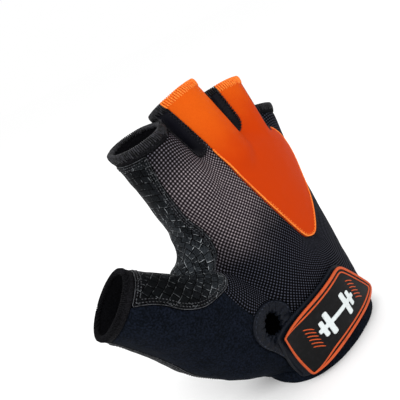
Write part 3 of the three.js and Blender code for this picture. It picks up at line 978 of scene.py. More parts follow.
class Graph:
    """The nodes of one material."""

    def __init__(self, name: str) -> None:
        """Starts a material with its shader and output.

        Args:
            name: the material's name.
        """
        self.material = bpy.data.materials.new(name)
        self.material.use_nodes = True
        self.tree = self.material.node_tree
        self.tree.nodes.clear()
        self.shader = self.tree.nodes.new("ShaderNodeBsdfPrincipled")
        output = self.tree.nodes.new("ShaderNodeOutputMaterial")
        self.tree.links.new(self.shader.outputs["BSDF"], output.inputs["Surface"])

    def feed(self, socket: NodeSocket, value: object) -> None:
        """Sets an input.

        Args:
            socket: the input.
            value: its value, or a socket or a Reading that is linked to it.
        """
        value = value.socket if isinstance(value, Reading) else value
        if isinstance(value, NodeSocket):
            self.tree.links.new(value, socket)
        else:
            socket.default_value = value

    def node(self, kind: str, settings: dict, sockets: dict) -> Node:
        """Adds a node.

        Args:
            kind: the node's type.
            settings: its own settings, set first.
            sockets: a value, a socket or a Reading for each input, by name or number.

        Returns:
            The node.
        """
        made = self.tree.nodes.new(kind)
        for name, value in settings.items():
            setattr(made, name, value)
        for name, value in sockets.items():
            self.feed(made.inputs[name], value)
        return made

    def math(self, operation: str, *values: "Reading | float") -> Reading:
        """A Math node on one or two numbers."""
        made = self.node("ShaderNodeMath", {"operation": operation}, dict(enumerate(values)))
        return Reading(self, made.outputs[0])

    def mix(self, factor: "Reading | float", low: object, high: object) -> NodeSocket:
        """A colour between two colours, each a tuple or a socket."""
        ends = {0: factor, 6: rgba(low), 7: rgba(high)}
        return self.node("ShaderNodeMix", {"data_type": "RGBA"}, ends).outputs[2]

    def cloth(self, scale: Pair = (1, 1), turn: float = 0) -> NodeSocket:
        """The cloth's own coordinates, in millimetres.

        Args:
            scale: what U and V are multiplied by.
            turn: how far they are turned, in degrees.

        Returns:
            The coordinates.
        """
        uv = self.node("ShaderNodeUVMap", {"uv_map": UV_NAME}, {}).outputs[0]
        sockets = {"Vector": uv, "Rotation": (0, 0, math.radians(turn)), "Scale": (*scale, 1)}
        return self.node("ShaderNodeMapping", {}, sockets).outputs[0]

    def place(self) -> NodeSocket:
        """The object's coordinates, in millimetres."""
        spot = self.node("ShaderNodeTexCoord", {}, {})
        sockets = {"Vector": spot.outputs["Object"], "Scale": (1 / METRES,) * 3}
        return self.node("ShaderNodeMapping", {}, sockets).outputs[0]

    def split(self, vector: NodeSocket) -> tuple[Reading, Reading, Reading]:
        """The three numbers of a vector."""
        parts = self.node("ShaderNodeSeparateXYZ", {}, {"Vector": vector})
        return tuple(Reading(self, output) for output in parts.outputs)

    def noise(self, vector: NodeSocket, scale: float, detail: float = 2.0) -> Reading:
        """Soft noise from 0 to 1."""
        made = self.node("ShaderNodeTexNoise", {}, {"Vector": vector, "Scale": scale, "Detail": detail})
        return Reading(self, made.outputs["Fac"])

    def bump(self, height: Reading, deep: float, strength: float = 1.0) -> None:
        """Gives the surface a relief, deep in millimetres."""
        sockets = {"Height": height, "Distance": deep * METRES, "Strength": strength}
        made = self.node("ShaderNodeBump", {}, sockets)
        self.tree.links.new(made.outputs["Normal"], self.shader.inputs["Normal"])

    def finish(self, colour: NodeSocket, rough: "Reading | float", specular: float,
               glow: float = 0.0) -> Material:
        """Sets the shader's inputs.

        Args:
            colour: its base colour.
            rough: its roughness.
            specular: its specular level.
            glow: the strength of its own white light.

        Returns:
            The finished material.
        """
        inputs = self.shader.inputs
        self.feed(inputs["Base Color"], colour)
        self.feed(inputs["Roughness"], rough)
        inputs["Specular IOR Level"].default_value = specular
        if glow:
            inputs["Emission Color"].default_value = (1, 1, 1, 1)
            inputs["Emission Strength"].default_value = glow
        return self.material


def linear(code: int) -> Triple:
    """A screen colour such as 0xE8590F as linear red, green and blue."""
    parts = [((code >> shift) & 255) / 255 for shift in (16, 8, 0)]
    return tuple(part / 12.92 if part <= 0.04045 else ((part + 0.055) / 1.055) ** 2.4 for part in parts)


def rgba(colour: object) -> object:
    """A colour code or a tuple with its alpha; a socket stays as it is."""
    if isinstance(colour, int):
        return (*linear(colour), 1.0)
    return (*colour, 1.0) if isinstance(colour, tuple) and len(colour) == 3 else colour


@dataclass(frozen=True)
class KnitMesh:
    """Black knit with a close diamond grid of pale dots, painted paler round the knuckle: painted
    sheen, and the skin's pink seen through the stretched knit.
    """

    pitch: float = 1.22
    turned: float = 45.0
    hole: int = 0x030304
    thread: int = 0x060608
    # Paler thread colour round the knuckle: painted sheen.
    sheen_thread: int = 0x3B3437
    dot: int = 0x41434F
    # Paler dot colour round the knuckle: painted sheen, and the skin's pink seen through the knit.
    sheen_and_skin_dot: int = 0xA89C9F
    thread_edge: Pair = (-1.5, 0.2)
    dot_edge: Pair = (0.45, 1.6)
    # The middle of the painted sheen and skin-tinted patch, and how far it reaches.
    sheen_and_skin_centre: Pair = (-30.0, 91.0)
    reach: float = 36.0
    rough: float = 0.75
    specular: float = 0.025

    def make(self) -> Material:
        """Builds the material.

        Returns:
            The material.
        """
        graph = Graph("knit_mesh")
        size = 1 / self.pitch
        u, v, _ = graph.split(graph.cloth((size, size), self.turned))
        wave = (u * math.tau).cosine() + (v * math.tau).cosine()
        x, _, z = graph.split(graph.place())
        # Painted sheen: threads and dots turn paler towards a point over the knuckle, with the skin's
        # pink in the dots.
        aside, above = x - self.sheen_and_skin_centre[0], z - self.sheen_and_skin_centre[1]
        away = graph.math("SQRT", aside * aside + above * above)
        wander = graph.noise(graph.place(), 0.07)
        pale_mask = ((1.0 - away / self.reach) * 1.3 + wander * 0.5 - 0.25).step(0.0, 1.0)
        fleck = graph.noise(graph.place(), 1.1).step(0.3, 0.7)
        threads = graph.mix(pale_mask, self.thread, self.sheen_thread)
        dots = graph.mix(pale_mask * (0.55 + fleck * 0.45), self.dot, self.sheen_and_skin_dot)
        knit = graph.mix(wave.step(*self.thread_edge), self.hole, threads)
        colour = graph.mix(wave.step(*self.dot_edge), knit, dots)
        graph.bump(wave * 0.25 + graph.noise(graph.place(), 3.0) * 0.3, 0.35, 0.7)
        return graph.finish(colour, self.rough, self.specular)


@dataclass(frozen=True)
class Satin:
    """Smooth stretch cloth with a close warp knit and a soft gloss, with painted light: paler high on
    the fingers and to the thumb's side, darker lower down.
    """

    name: str = "orange_satin"
    # The colour in the painted light on the fingers, and the colour in the painted shade lower down;
    # the grain is also tinted towards the second.
    base: int = 0xD1560F
    deep: int = 0xB93706
    pale_above: float = 126.0
    pale_beside: float = 12.0
    knit: Pair = (0.42, 0.6)
    rough: float = 0.5
    specular: float = 0.02

    def make(self) -> Material:
        """Builds the material.

        Returns:
            The material.
        """
        graph = Graph(self.name)
        x, _, z = graph.split(graph.place())
        soft = graph.noise(graph.place(), 0.09)
        # Painted light and shade: palest high on the fingers and to the thumb's side, darker lower down
        # and to the little finger's side.
        down, aside = (self.pale_above - z) * 0.034, (x + self.pale_beside) * 0.01
        shade = (down + aside + soft * 0.5 - 0.25).step(0.0, 1.0)
        u, v, _ = graph.split(graph.cloth())
        knit = (u * (math.tau / self.knit[0])).cosine() * (v * (math.tau / self.knit[1])).cosine()
        speck = graph.noise(graph.place(), 2.2, 3.0)
        colour = graph.mix(shade, self.base, self.deep)
        tinted = graph.mix((speck * 0.5 + knit * 0.06).step(0.15, 0.45) * 0.3, colour, self.deep)
        graph.bump(knit * 0.5 + speck, 0.12, 0.5)
        rough = self.rough + speck * 0.12
        return graph.finish(tinted, rough, self.specular)


@dataclass(frozen=True)
class TiledLeather:
    """Black leather embossed with small uneven tiles, a painted highlight along one edge of some tiles,
    and painted light paler on the web than on the thumb.
    """

    long: float = 3.9
    high: float = 3.0
    sway: float = 3.4
    # How far the second tiling is shifted, so that its groove marks one edge of each tile for the
    # painted highlight.
    aside: Triple = (0.36, -0.26, 0.0)
    # Painted light: the tiles are lit from the thumb to the web along X, and darker towards the fingers
    # along Z.
    web: Pair = (-72.0, -44.0)
    fingers: Pair = (86.0, 106.0)
    groove: int = 0x020203
    face: int = 0x050607
    # A paler tile face where the dust and tone mottle shows; most of its paleness is painted light on
    # the web.
    mottled: int = 0x303438
    # The painted highlight on the tile edges.
    rim: int = 0xA6ABAF
    mortar: float = 0.26
    rough: float = 0.48
    specular: float = 0.02

    def tiles(self, graph: Graph, cloth: NodeSocket) -> tuple[Reading, Reading]:
        """The tiles of the leather.

        Args:
            graph: the material.
            cloth: the coordinates that they lie on.

        Returns:
            How far each place is into a groove between them, and each tile's own tone.
        """
        made = graph.node(
            "ShaderNodeTexBrick",
            {"offset": 0.5, "squash": 0.8, "squash_frequency": 3},
            {
                "Vector": cloth,
                "Scale": 1.0,
                "Mortar Size": self.mortar,
                "Mortar Smooth": 1.0,
                "Brick Width": self.long,
                "Row Height": self.high,
                "Color1": (0, 0, 0, 1),
                "Color2": (1, 1, 1, 1),
            },
        )
        return Reading(graph, made.outputs["Fac"]), Reading(graph, made.outputs["Color"])

    def make(self) -> Material:
        """Builds the material.

        Returns:
            The material.
        """
        graph = Graph("grip_leather")
        cloth = graph.cloth()
        wander = graph.node("ShaderNodeTexNoise", {}, {"Vector": cloth, "Scale": 0.07, "Detail": 1.0})
        shifted = graph.node(
            "ShaderNodeVectorMath",
            {"operation": "MULTIPLY_ADD"},
            {0: wander.outputs["Color"], 1: (self.sway, self.sway, 0), 2: cloth},
        )
        beside = graph.node(
            "ShaderNodeVectorMath", {"operation": "ADD"}, {0: shifted.outputs[0], 1: self.aside}
        )
        groove, tone = self.tiles(graph, shifted.outputs[0])
        # Painted highlight: one edge of each tile, where the shifted tiling's groove falls.
        edge = self.tiles(graph, beside.outputs[0])[0].step(0.3, 0.8) * (1 - groove.step(0.1, 0.5))
        grain = graph.noise(graph.place(), 1.6, 4.0)
        # Patches where the painted highlight shows.
        pale_mask = graph.noise(graph.place(), 0.42, 3.0).step(0.47, 0.66)
        x, _, z = graph.split(graph.place())
        # Painted light: lit on the web and palm, painted shade on the thumb and towards the fingers.
        lit = x.step(*self.web) * (1 - z.step(*self.fingers) * 0.8)
        # Dust and tone mottle on the tile faces, shown mostly where the painted light falls.
        mottle = (grain + tone * 0.22).step(0.35, 0.85) * (0.08 + lit * 0.92)
        sunk = graph.mix(groove.step(0.12, 0.65), graph.mix(mottle, self.face, self.mottled), self.groove)
        # The painted highlight, weaker in the painted shade on the thumb.
        colour = graph.mix(edge * pale_mask * (0.2 + lit * 0.8), sunk, self.rim)
        graph.bump(1 - groove + grain * 0.25, 0.45, 0.9)
        rough = self.rough - edge * 0.2 + grain * 0.12
        return graph.finish(colour, rough, self.specular)


@dataclass(frozen=True)
class Plush:
    """A dark cloth with a fine pile or rib."""

    name: str
    base: int
    light: int
    rough: float
    grain: float = 2.6
    relief: float = 0.2
    rib: float = 0.0
    specular: float = 0.03

    def make(self) -> Material:
        """Builds the material.

        Returns:
            The material.
        """
        graph = Graph(self.name)
        fine = graph.noise(graph.place(), self.grain, 3.0)
        broad = graph.noise(graph.place(), 0.12)
        height = fine
        if self.rib:
            _, _, z = graph.split(graph.place())
            height = fine * 0.5 + (z * (math.tau / self.rib)).cosine() * 0.5
        colour = graph.mix((fine * 0.95 + broad * 0.2).step(0.42, 0.78), self.base, self.light)
        graph.bump(height, self.relief, 0.8)
        return graph.finish(colour, self.rough, self.specular)


@dataclass(frozen=True)
class Moulded:
    """Soft moulded rubber, matt, with dust in its grain."""

    name: str
    base: int
    mottled: int
    rough: float = 0.5
    specular: float = 0.25

    def make(self) -> Material:
        """Builds the material.

        Returns:
            The material.
        """
        graph = Graph(self.name)
        mottle = graph.noise(graph.place(), 0.5, 5.0).step(0.45, 0.8)
        grain = graph.noise(graph.place(), 5.0, 2.0)
        colour = graph.mix(mottle, self.base, self.mottled)
        graph.bump(grain, 0.05, 0.5)
        rough = self.rough + grain * 0.12
        return graph.finish(colour, rough, self.specular)


@dataclass(frozen=True)
class Pattern:
    """The sewing lines that divide the glove's form into its cut pieces, seen along Y."""

    fingers: dict[str, Finger]
    slits: dict[str, Slit]
    thumb_hem: tuple[Array, Array]
    hem_deep: float = 4.5
    thumb_hem_deep: float = 3.6
    binding_deep: float = 5.5
    back_to: float = 3.0
    thumb_reach: float = 32.0
    side_seam: tuple[tuple[float, float, float, float, float], ...] = (
        (-20, 3, 3, 11, -27),
        (40, 5, 5, 13, -33),
        (62, 7, 7, 17, -45),
        (84, 9, 3, 27, -52),
        (103, 13, 6.7, 34, -56),
        (122, 18, 8.6, 41, -58),
        (140, 23, 12, 48, -58),
    )
    seam_outer: Pair = (31, 37)
    seam_turn: float = 6.0
    seam_rise: float = 6.0
    seam_rise_at: float = 38.0
    orange_radial: Line = (
        (-18.3, 110.5), (-17.7, 103), (-16.2, 93.7), (-12.7, 82.7), (-8.2, 71), (-4.2, 61.4),
        (-1.8, 56.2), (0.3, 53), (4.3, 51.2),
    )
    orange_ulnar: Line = (
        (4.3, 51.2), (9, 52.4), (20.4, 62.9), (26.5, 72.8), (30.8, 82), (31.8, 90),
        (28.5, 96.5), (22.9, 101.5),
    )
    orange_outside: Line = ((30, 140), (-22, 140))
    grip_index: Line = (
        (-42, 87), (-39.7, 81.5), (-38.2, 75), (-38.4, 67.5), (-42, 62.6),
    )
    grip_thumb: Line = (
        (-42, 62.6), (-49, 60.8), (-57.2, 61.4), (-66, 62.6), (-73.2, 66.6), (-78.3, 72.2),
        (-83.5, 76), (-92, 79.5),
    )
    grip_outside: Line = ((-120, 90), (-120, 140), (-52, 140), (-50, 87))
    thumb_edge: Line = (
        (-54, 66), (-52.4, 58.5), (-49.1, 50.5), (-45, 43), (-38, 34), (-33, 20), (-31, -20),
    )
    thumb_outside: Line = ((-120, -20), (-120, 100), (-54, 100))
    facing_edge: Line = (
        (-27.2, 30), (-26.4, 35), (-28.6, 39.2), (-33.2, 42.3), (-39.6, 44), (-45.6, 43.2),
        (-49.4, 39.2), (-49.3, 33.4), (-46.6, 27.8), (-42, 22), (-37.4, 15), (-34.6, 9), (-33.4, 2),
    )
    facing_under: Pair = (-24, 2)
    keyhole: Pair = (-38.2, 34.2)
    keyhole_radius: float = 5.5
    scallops: int = 14
    scallop: float = 0.85
    slit_half: float = 0.9
    slit_top: Pair = (-35.6, 31)
    slit_foot: Pair = (-30.6, 9)

    def seam(self, places: Array) -> Array:
        """The seam between back and palm.

        Args:
            places: the places over or under it.

        Returns:
            Y of the seam at each place.
        """
        x, z = places[:, 0], places[:, 2]
        rows = np.array(self.side_seam)
        hand, outer, thumb, turn = (np.interp(z, rows[:, 0], rows[:, k]) for k in range(1, 5))
        thumbward = smoothstep(-x + turn, -self.seam_turn, self.seam_turn)
        outward = smoothstep(-x, *self.seam_outer)
        rise = self.seam_rise * (np.maximum(0, x) / self.seam_rise_at) ** 2
        inner = hand + (outer - hand) * outward
        return inner + (thumb - inner) * thumbward + rise

    def inside(self, *lines: Sequence) -> Distances:
        """The region inside an outline made of smooth lines and single corners."""
        outline = np.vstack([np.atleast_2d(line) for line in lines])
        return lambda places: outline_distance(places, outline)

    def finger_end(self, name: str, deep: float) -> Distances:
        """The last stretch of a finger.

        Args:
            name: the finger.
            deep: how long the stretch is; 0 is all beyond the hem.

        Returns:
            Its region.
        """
        point, facing = self.fingers[name].hem_plane()
        walls = []
        for pair, slit in self.slits.items():
            if name in pair.split("_"):
                line = unit(np.subtract(slit.end, slit.crotch))
                away = np.array([line[1], -line[0]]) * (-1 if pair.endswith(name) else 1)
                walls.append((np.array(slit.crotch), away))

        def distance(places: Array) -> Array:
            """How far each place is outside the stretch."""
            beyond = -((places - point) @ facing + deep)
            for crotch, away in walls:
                beyond = np.maximum(beyond, (places[:, [0, 2]] - crotch) @ away)
            return beyond

        return distance

    def thumb_tip(self, deep: float) -> Distances:
        """The last stretch of the thumb.

        Args:
            deep: how long the stretch is; 0 is all beyond the hem.

        Returns:
            Its region.
        """
        point, facing = self.thumb_hem

        def distance(places: Array) -> Array:
            """How far each place is outside the stretch."""
            ahead = (places - point) @ facing
            side = np.linalg.norm(places - point - ahead[:, None] * facing, axis=1)
            return np.maximum(-(ahead + deep), side - self.thumb_reach)

        return distance

    def openings(self) -> dict[str, Distances]:
        """What is cut away: the glove's five mouths and its wrist."""
        ends = {name: self.finger_end(name, 0) for name in self.fingers}
        return {**ends, "thumb": self.thumb_tip(0), "wrist": lambda places: places[:, 2]}

    def keyhole_region(self, places: Array) -> Array:
        """The scalloped keyhole and the slit from it to the wrist, in the back only.

        Args:
            places: the places.

        Returns:
            How far each is outside, negative inside.
        """
        spot = places[:, [0, 2]] - np.array(self.keyhole)
        turn = np.arctan2(spot[:, 1], spot[:, 0])
        tooth = 1 - 2 * np.abs(np.sin(self.scallops * turn / 2))
        hole = np.linalg.norm(spot, axis=1) - self.keyhole_radius - self.scallop * tooth
        top_x, top_z = self.slit_top
        left, right = (top_x - self.slit_half, top_z), (top_x + self.slit_half, top_z)
        slit = np.array([left, self.slit_foot, right])
        both = np.minimum(hole, outline_distance(places, slit))
        return np.maximum(both, places[:, 1] - self.back_to)

    def regions(self) -> dict[str, Distances]:
        """Each cut piece's region.

        Returns:
            The regions by the pieces' names, in the order of cutting.
        """
        facing = self.inside(sewn(self.facing_edge), self.facing_under)
        lap = self.inside(sewn(self.grip_index), sewn(self.grip_thumb)[1:], self.grip_outside)
        regions = {
            "index_hem": self.finger_end("index", self.hem_deep),
            "pinky_hem": self.finger_end("pinky", self.hem_deep),
            "thumb_hem": self.thumb_tip(self.thumb_hem_deep),
            "wrist_binding": lambda places: places[:, 2] - self.binding_deep,
            "keyhole_facing": lambda places: np.maximum(facing(places), places[:, 1] - self.back_to),
        }
        for name, slit in self.slits.items():
            regions[f"gusset_{name}"] = self.inside(strip(slit, slit.below, slit.radial, slit.ulnar))
        regions["palm_grip"] = lambda places: np.minimum(self.seam(places) - places[:, 1], lap(places))
        orange = (sewn(self.orange_radial), sewn(self.orange_ulnar)[1:], self.orange_outside)
        regions["orange_back"] = self.inside(*orange)
        regions["thumb_panel"] = self.inside(sewn(self.thumb_edge), self.thumb_outside)
        return regions


@dataclass(frozen=True)
class Cut:
    """How one cut piece lies over the hand's form, and what it is made of."""

    slot: Slot
    finish: str
    raised: float = 0.0
    tuck: float = 0.7
    roll: float = 1.8
    lip: float = 0.5
    lip_roll: float = 1.0
    thick: float = 1.6
    wrinkle: float = 0.12
    fine_within: float = 2.4
    patterned: bool = False
    also: tuple[str, ...] = ()

    def height(self, sheet: Sheet) -> Array:
        """The piece's height over the form, drawn in at its seams and open edges.

        Args:
            sheet: the piece.

        Returns:
            The height of each of its points.
        """
        broad, fine, fine_share, calm_within = 0.11, 0.27, 0.5, 4
        waves = [
            noise.noise(vert.co * broad) + fine_share * noise.noise(vert.co * fine)
            for vert in sheet.mesh.verts
        ]
        fade = np.clip(sheet.seam_gap / calm_within, 0, 1)
        rise = self.raised - self.tuck * shoulder(sheet.seam_gap, self.roll)
        rise = rise - self.lip * shoulder(sheet.free_gap, self.lip_roll)
        return rise + self.wrinkle * np.array(waves) * fade


class Skin:
    """The hand's outer surface, from which the pieces are cut one after another."""

    def __init__(self, form: Object, pattern: Pattern) -> None:
        """Takes the form's mesh, makes room for what its points keep and cuts the openings.

        Args:
            form: the glove's full form, in millimetres.
            pattern: the sewing lines.
        """
        self.pattern = pattern
        self.mesh = bmesh.new()
        self.mesh.from_mesh(form.data)
        self.mesh.normal_update()
        outward = self.mesh.verts.layers.float_vector.new("outward")
        for name in ("free", "side", "height"):
            self.mesh.verts.layers.float.new(name)
        for vert in self.mesh.verts:
            vert[outward] = vert.normal
        self.tree = BVHTree.FromBMesh(self.mesh)
        self.rims = self.open_up()

    def open_up(self) -> dict[str, Path]:
        """Cuts the mouths, the wrist and the keyhole away.

        Returns:
            The line round each of them.
        """
        openings = self.pattern.openings()
        openings["keyhole"] = self.pattern.keyhole_region
        rims = {}
        for name, distance in openings.items():
            cut_sheet(self.mesh, distance).free()
            free = self.mesh.verts.layers.float["free"]
            edges = [edge for edge in self.mesh.edges if len(edge.link_faces) == 1]
            fresh = [edge for edge in edges if any(vert[free] < FREE_MARK for vert in edge.verts)]
            rims[name] = self.walk(fresh)
            for edge in edges:
                for vert in edge.verts:
                    vert[free] = 1.0
        return rims

    def walk(self, edges: list[BMEdge]) -> Path:
        """Follows edges that join into a line round an opening.

        Args:
            edges: the edges.

        Returns:
            The longest line.
        """
        outward = self.mesh.verts.layers.float_vector["outward"]
        left = set(edges)
        best: list[BMVert] = []
        while left:
            edge = left.pop()
            chain = [edge.verts[0], edge.verts[1]]
            for _ in range(2):
                while True:
                    ahead = [link for link in chain[-1].link_edges if link in left]
                    if not ahead:
                        break
                    left.discard(ahead[0])
                    chain.append(ahead[0].other_vert(chain[-1]))
                chain.reverse()
            if len(chain) > len(best):
                best = chain
        closed = best[0] == best[-1]
        if closed:
            best = best[:-1]
        places = np.array([vert.co for vert in best])
        return Path(places, np.array([vert[outward] for vert in best]), closed).ordered()

    def is_outside(self, place: Array) -> bool:
        """Whether a place is off the glove, past its openings."""
        spot = np.array([place])
        return any(distance(spot)[0] < 0 for distance in self.pattern.openings().values())

    def nearest(self, place: Sequence[float]) -> tuple[Array, Array]:
        """The nearest point of the surface and the outward direction there."""
        spot, normal, _, _ = self.tree.find_nearest(Vector(place))
        return np.array(spot), np.array(normal)


@dataclass
class Workshop:
    """Turns shaped meshes into finished pieces; it has the materials by their finishes' names."""

    finishes: dict[str, Material]

    def piece(self, made: Object, slot: Slot, finish: str, replaced: Sequence[str] = ()) -> None:
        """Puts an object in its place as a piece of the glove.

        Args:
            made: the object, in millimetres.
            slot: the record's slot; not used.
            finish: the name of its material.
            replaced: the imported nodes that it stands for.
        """
        made.data.transform(Matrix.Scale(METRES, 4))
        made.data.materials.append(self.finishes[finish])
        for polygon in made.data.polygons:
            polygon.use_smooth = True
        if replaced:
            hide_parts(*replaced)
        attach(made, "root")
        LOG.info("%s: %d faces", made.name, len(made.data.polygons))

    def cloth(self, name: str, sheet: Sheet, cut: Cut) -> None:
        """Finishes a cut piece: its own coordinates, its wall and its lining.

        Args:
            name: the node that it stands for.
            sheet: the shaped piece.
            cut: how it lies and what it is made of.
        """
        made = object_of(f"{name}_cloth", sheet.mesh.copy())
        self.unfold(made, cut.patterned)
        self.line(made, cut.thick)
        self.piece(made, cut.slot, cut.finish, (name, *cut.also))
        made.data.materials.append(self.finishes["lining"])
        made.data.set_sharp_from_angle(angle=math.radians(SHARP_ANGLE))

    def line(self, made: Object, thick: float) -> None:
        """Gives a sheet its inner side, which lies on the hand and meets the next piece's.

        Args:
            made: the sheet, in millimetres.
            thick: how far its inner side is from the hand's form.
        """
        wall = bmesh.new()
        wall.from_mesh(made.data)
        layers = wall.verts.layers
        outward, height = layers.float_vector["outward"], layers.float["height"]
        inner, verts = wall.faces[:], wall.verts[:]
        whole = inner + wall.edges[:] + verts
        bmesh.ops.extrude_face_region(wall, geom=whole, use_keep_orig=True)
        for vert in verts:
            vert.co -= vert[outward] * (vert[height] + thick)
        bmesh.ops.reverse_faces(wall, faces=inner)
        for face in inner:
            face.material_index = 1
        for name in ("height", "free", "side"):
            layers.float.remove(layers.float[name])
        layers.float_vector.remove(layers.float_vector["outward"])
        wall.to_mesh(made.data)
        wall.free()

    def unfold(self, made: Object, even: bool) -> None:
        """Lays a sheet's own coordinates out flat.

        Args:
            made: the sheet's object, in millimetres.
            even: whether a pattern on it must keep its size all over.
        """
        made.data.uv_layers.new(name=UV_NAME)
        bpy.context.view_layer.objects.active = made
        made.select_set(True)
        bpy.ops.object.mode_set(mode="EDIT")
        bpy.ops.mesh.select_all(action="SELECT")
        method = "MINIMUM_STRETCH" if even else "CONFORMAL"
        bpy.ops.uv.unwrap(method=method, iterations=EVEN_ROUNDS, margin=0.0)
        bpy.ops.object.mode_set(mode="OBJECT")
        made.select_set(False)
        self.lay_out(made.data)

    def lay_out(self, data: Mesh) -> None:
        """Gives a sheet's own coordinates their true size, with V along the hand.

        Args:
            data: the sheet's mesh, in millimetres.
        """
        uv = np.array([corner.uv for corner in data.uv_layers[UV_NAME].data], float)
        z = np.array([data.vertices[loop.vertex_index].co.z for loop in data.loops])
        flat = 0.0
        for polygon in data.polygons:
            spots = uv[list(polygon.loop_indices)]
            after = np.roll(spots, -1, axis=0)
            flat += abs(np.sum(spots[:, 0] * after[:, 1] - spots[:, 1] * after[:, 0])) / 2
        scale = math.sqrt(sum(polygon.area for polygon in data.polygons) / max(flat, TINY))
        uv = (uv - uv.mean(axis=0)) * scale
        pull = (uv * (z - z.mean())[:, None]).sum(axis=0)
        turn = math.pi / 2 - math.atan2(pull[1], pull[0])
        rotation = np.array([[math.cos(turn), math.sin(turn)], [-math.sin(turn), math.cos(turn)]])
        data.uv_layers[UV_NAME].data.foreach_set("uv", (uv @ rotation).ravel())


CUTS = {
    **dict.fromkeys(("index_hem", "pinky_hem"), Cut(Slot.HEM, "hem", raised=0.35, tuck=0.6, roll=1.2)),
    "thumb_hem": Cut(Slot.HEM, "hem", raised=0.15, tuck=0.6, roll=1.0),
    "wrist_binding": Cut(Slot.NEOPRENE, "neoprene", raised=0.5, tuck=0.9, roll=1.6, lip=0.9,
                         lip_roll=1.6),
    "keyhole_facing": Cut(Slot.NEOPRENE, "facing", raised=0.95, tuck=1.3, roll=2.6, lip=1.4,
                          lip_roll=2.6, fine_within=FAR),
    **dict.fromkeys((f"gusset_{pair}" for pair in SLITS),
                    Cut(Slot.GUSSET, "gusset", raised=-0.35, tuck=0.3, roll=1.2, wrinkle=0.3)),
    "palm_grip": Cut(Slot.GRIP, "grip", raised=0.2, tuck=0.8, roll=1.4, wrinkle=0.25,
                     fine_within=1.9, patterned=True, also=("heel_grip", "thumb_grip")),
    "orange_back": Cut(Slot.ORANGE, "orange", raised=0.4, roll=1.0, wrinkle=0.2),
    "thumb_panel": Cut(Slot.NEOPRENE, "neoprene", raised=0.1, tuck=0.8, roll=2.0, wrinkle=0.35),
    "mesh_back": Cut(Slot.MESH, "mesh", roll=1.6, wrinkle=0.25, patterned=True, also=("mesh_side",)),
}


@dataclass
class Body:
    """The glove's cut pieces of cloth."""

    skin: Skin
    workshop: Workshop
    sheets: dict[str, Sheet] = field(default_factory=dict)
    gather: float = 0.5
    gather_reach: float = 6.5
    gather_sway: float = 0.9
    gather_drift: float = 0.15

    def cut_out(self) -> None:
        """Cuts every piece and shapes it."""
        skin = self.skin
        regions = {**skin.pattern.regions(), "mesh_back": None}
        for name, region in regions.items():
            sheet = Sheet(cut_sheet(skin.mesh, region) if region else skin.mesh)
            sheet.refine(CUTS[name].fine_within)
            sheet.raise_by(CUTS[name].height)
            if name == "keyhole_facing":
                sheet.raise_by(self.puckers)
            self.sheets[name] = sheet

    def puckers(self, sheet: Sheet) -> Array:
        """The gathers that run out from the keyhole.

        Args:
            sheet: the facing.

        Returns:
            The height of each of its points over its smooth form.
        """
        pattern = self.skin.pattern
        spot = np.array([vert.co.xz for vert in sheet.mesh.verts]) - np.array(pattern.keyhole)
        turn = np.arctan2(spot[:, 1], spot[:, 0])
        out = np.linalg.norm(spot, axis=1) - pattern.keyhole_radius
        fade = np.clip(out, 0, 1) * np.clip(1 - out / self.gather_reach, 0, 1)
        sway = self.gather_sway * np.sin(3 * turn)
        return self.gather * np.cos(pattern.scallops * turn + sway + self.gather_drift * out) * fade

    def dress(self) -> None:
        """Finishes the cut pieces."""
        for name, sheet in self.sheets.items():
            self.workshop.cloth(name, sheet, CUTS[name])


@dataclass(frozen=True)
class Overlock:
    """The close stitches that bind a cut end, laid over its edge side by side."""

    pitch: float = 1.08
    deep: float = 3.4
    slant: float = 0.28
    radius: float = 0.44
    proud: float = 0.45
    wall: float = 1.6
    uneven: float = 0.14
    widths: tuple[float, ...] = (0.7, 0.9, 1.0, 1.0, 1.0, 1.0, 0.95, 0.6)

    def sew(self, thread: Thread, skin: Skin, rim: Path) -> None:
        """Lays the stitches round an opening.

        Args:
            thread: the thread that they are added to.
            skin: the surface that they lie on.
            rim: the line round the opening.
        """
        probe = 3
        even = rim.smoothed().spaced(self.pitch)
        tangents = even.tangents()
        # How far down the cloth and how far out of it each point of a stitch is
        rows = (
            (1.3, -self.wall - 0.25),
            (0.25, -self.wall - 0.3),
            (-0.35, -self.wall / 2),
            (-0.12, self.proud * 0.7),
            (0.7, self.proud + 0.12),
            (self.deep * 0.5, self.proud + 0.12),
            (self.deep * 0.8, self.proud),
            (self.deep, self.proud - 0.45),
        )
        for index, (place, normal, tangent) in enumerate(zip(even.places, even.normals, tangents)):
            inwards = unit(np.cross(normal, tangent))
            if skin.is_outside(place + inwards * probe):
                inwards = -inwards
            uneven = 1 + self.uneven * noise.noise(Vector(place) * 0.9)
            points = []
            for down, out in rows:
                spot, facing = skin.nearest(place + inwards * max(down, 0) * uneven)
                spot = spot + tangent * self.slant * down + facing * out
                points.append(spot - inwards * max(-down, 0))
            thread.strand(np.array(points), self.widths)


@dataclass(frozen=True)
class Seam:
    """Rows of stitches on a cut piece along its seams, and the thread that they are sewn with."""

    name: str
    on: str
    levels: tuple[float, ...]
    pitch: float
    radius: float
    slot: Slot
    finish: str
    below: float = math.inf


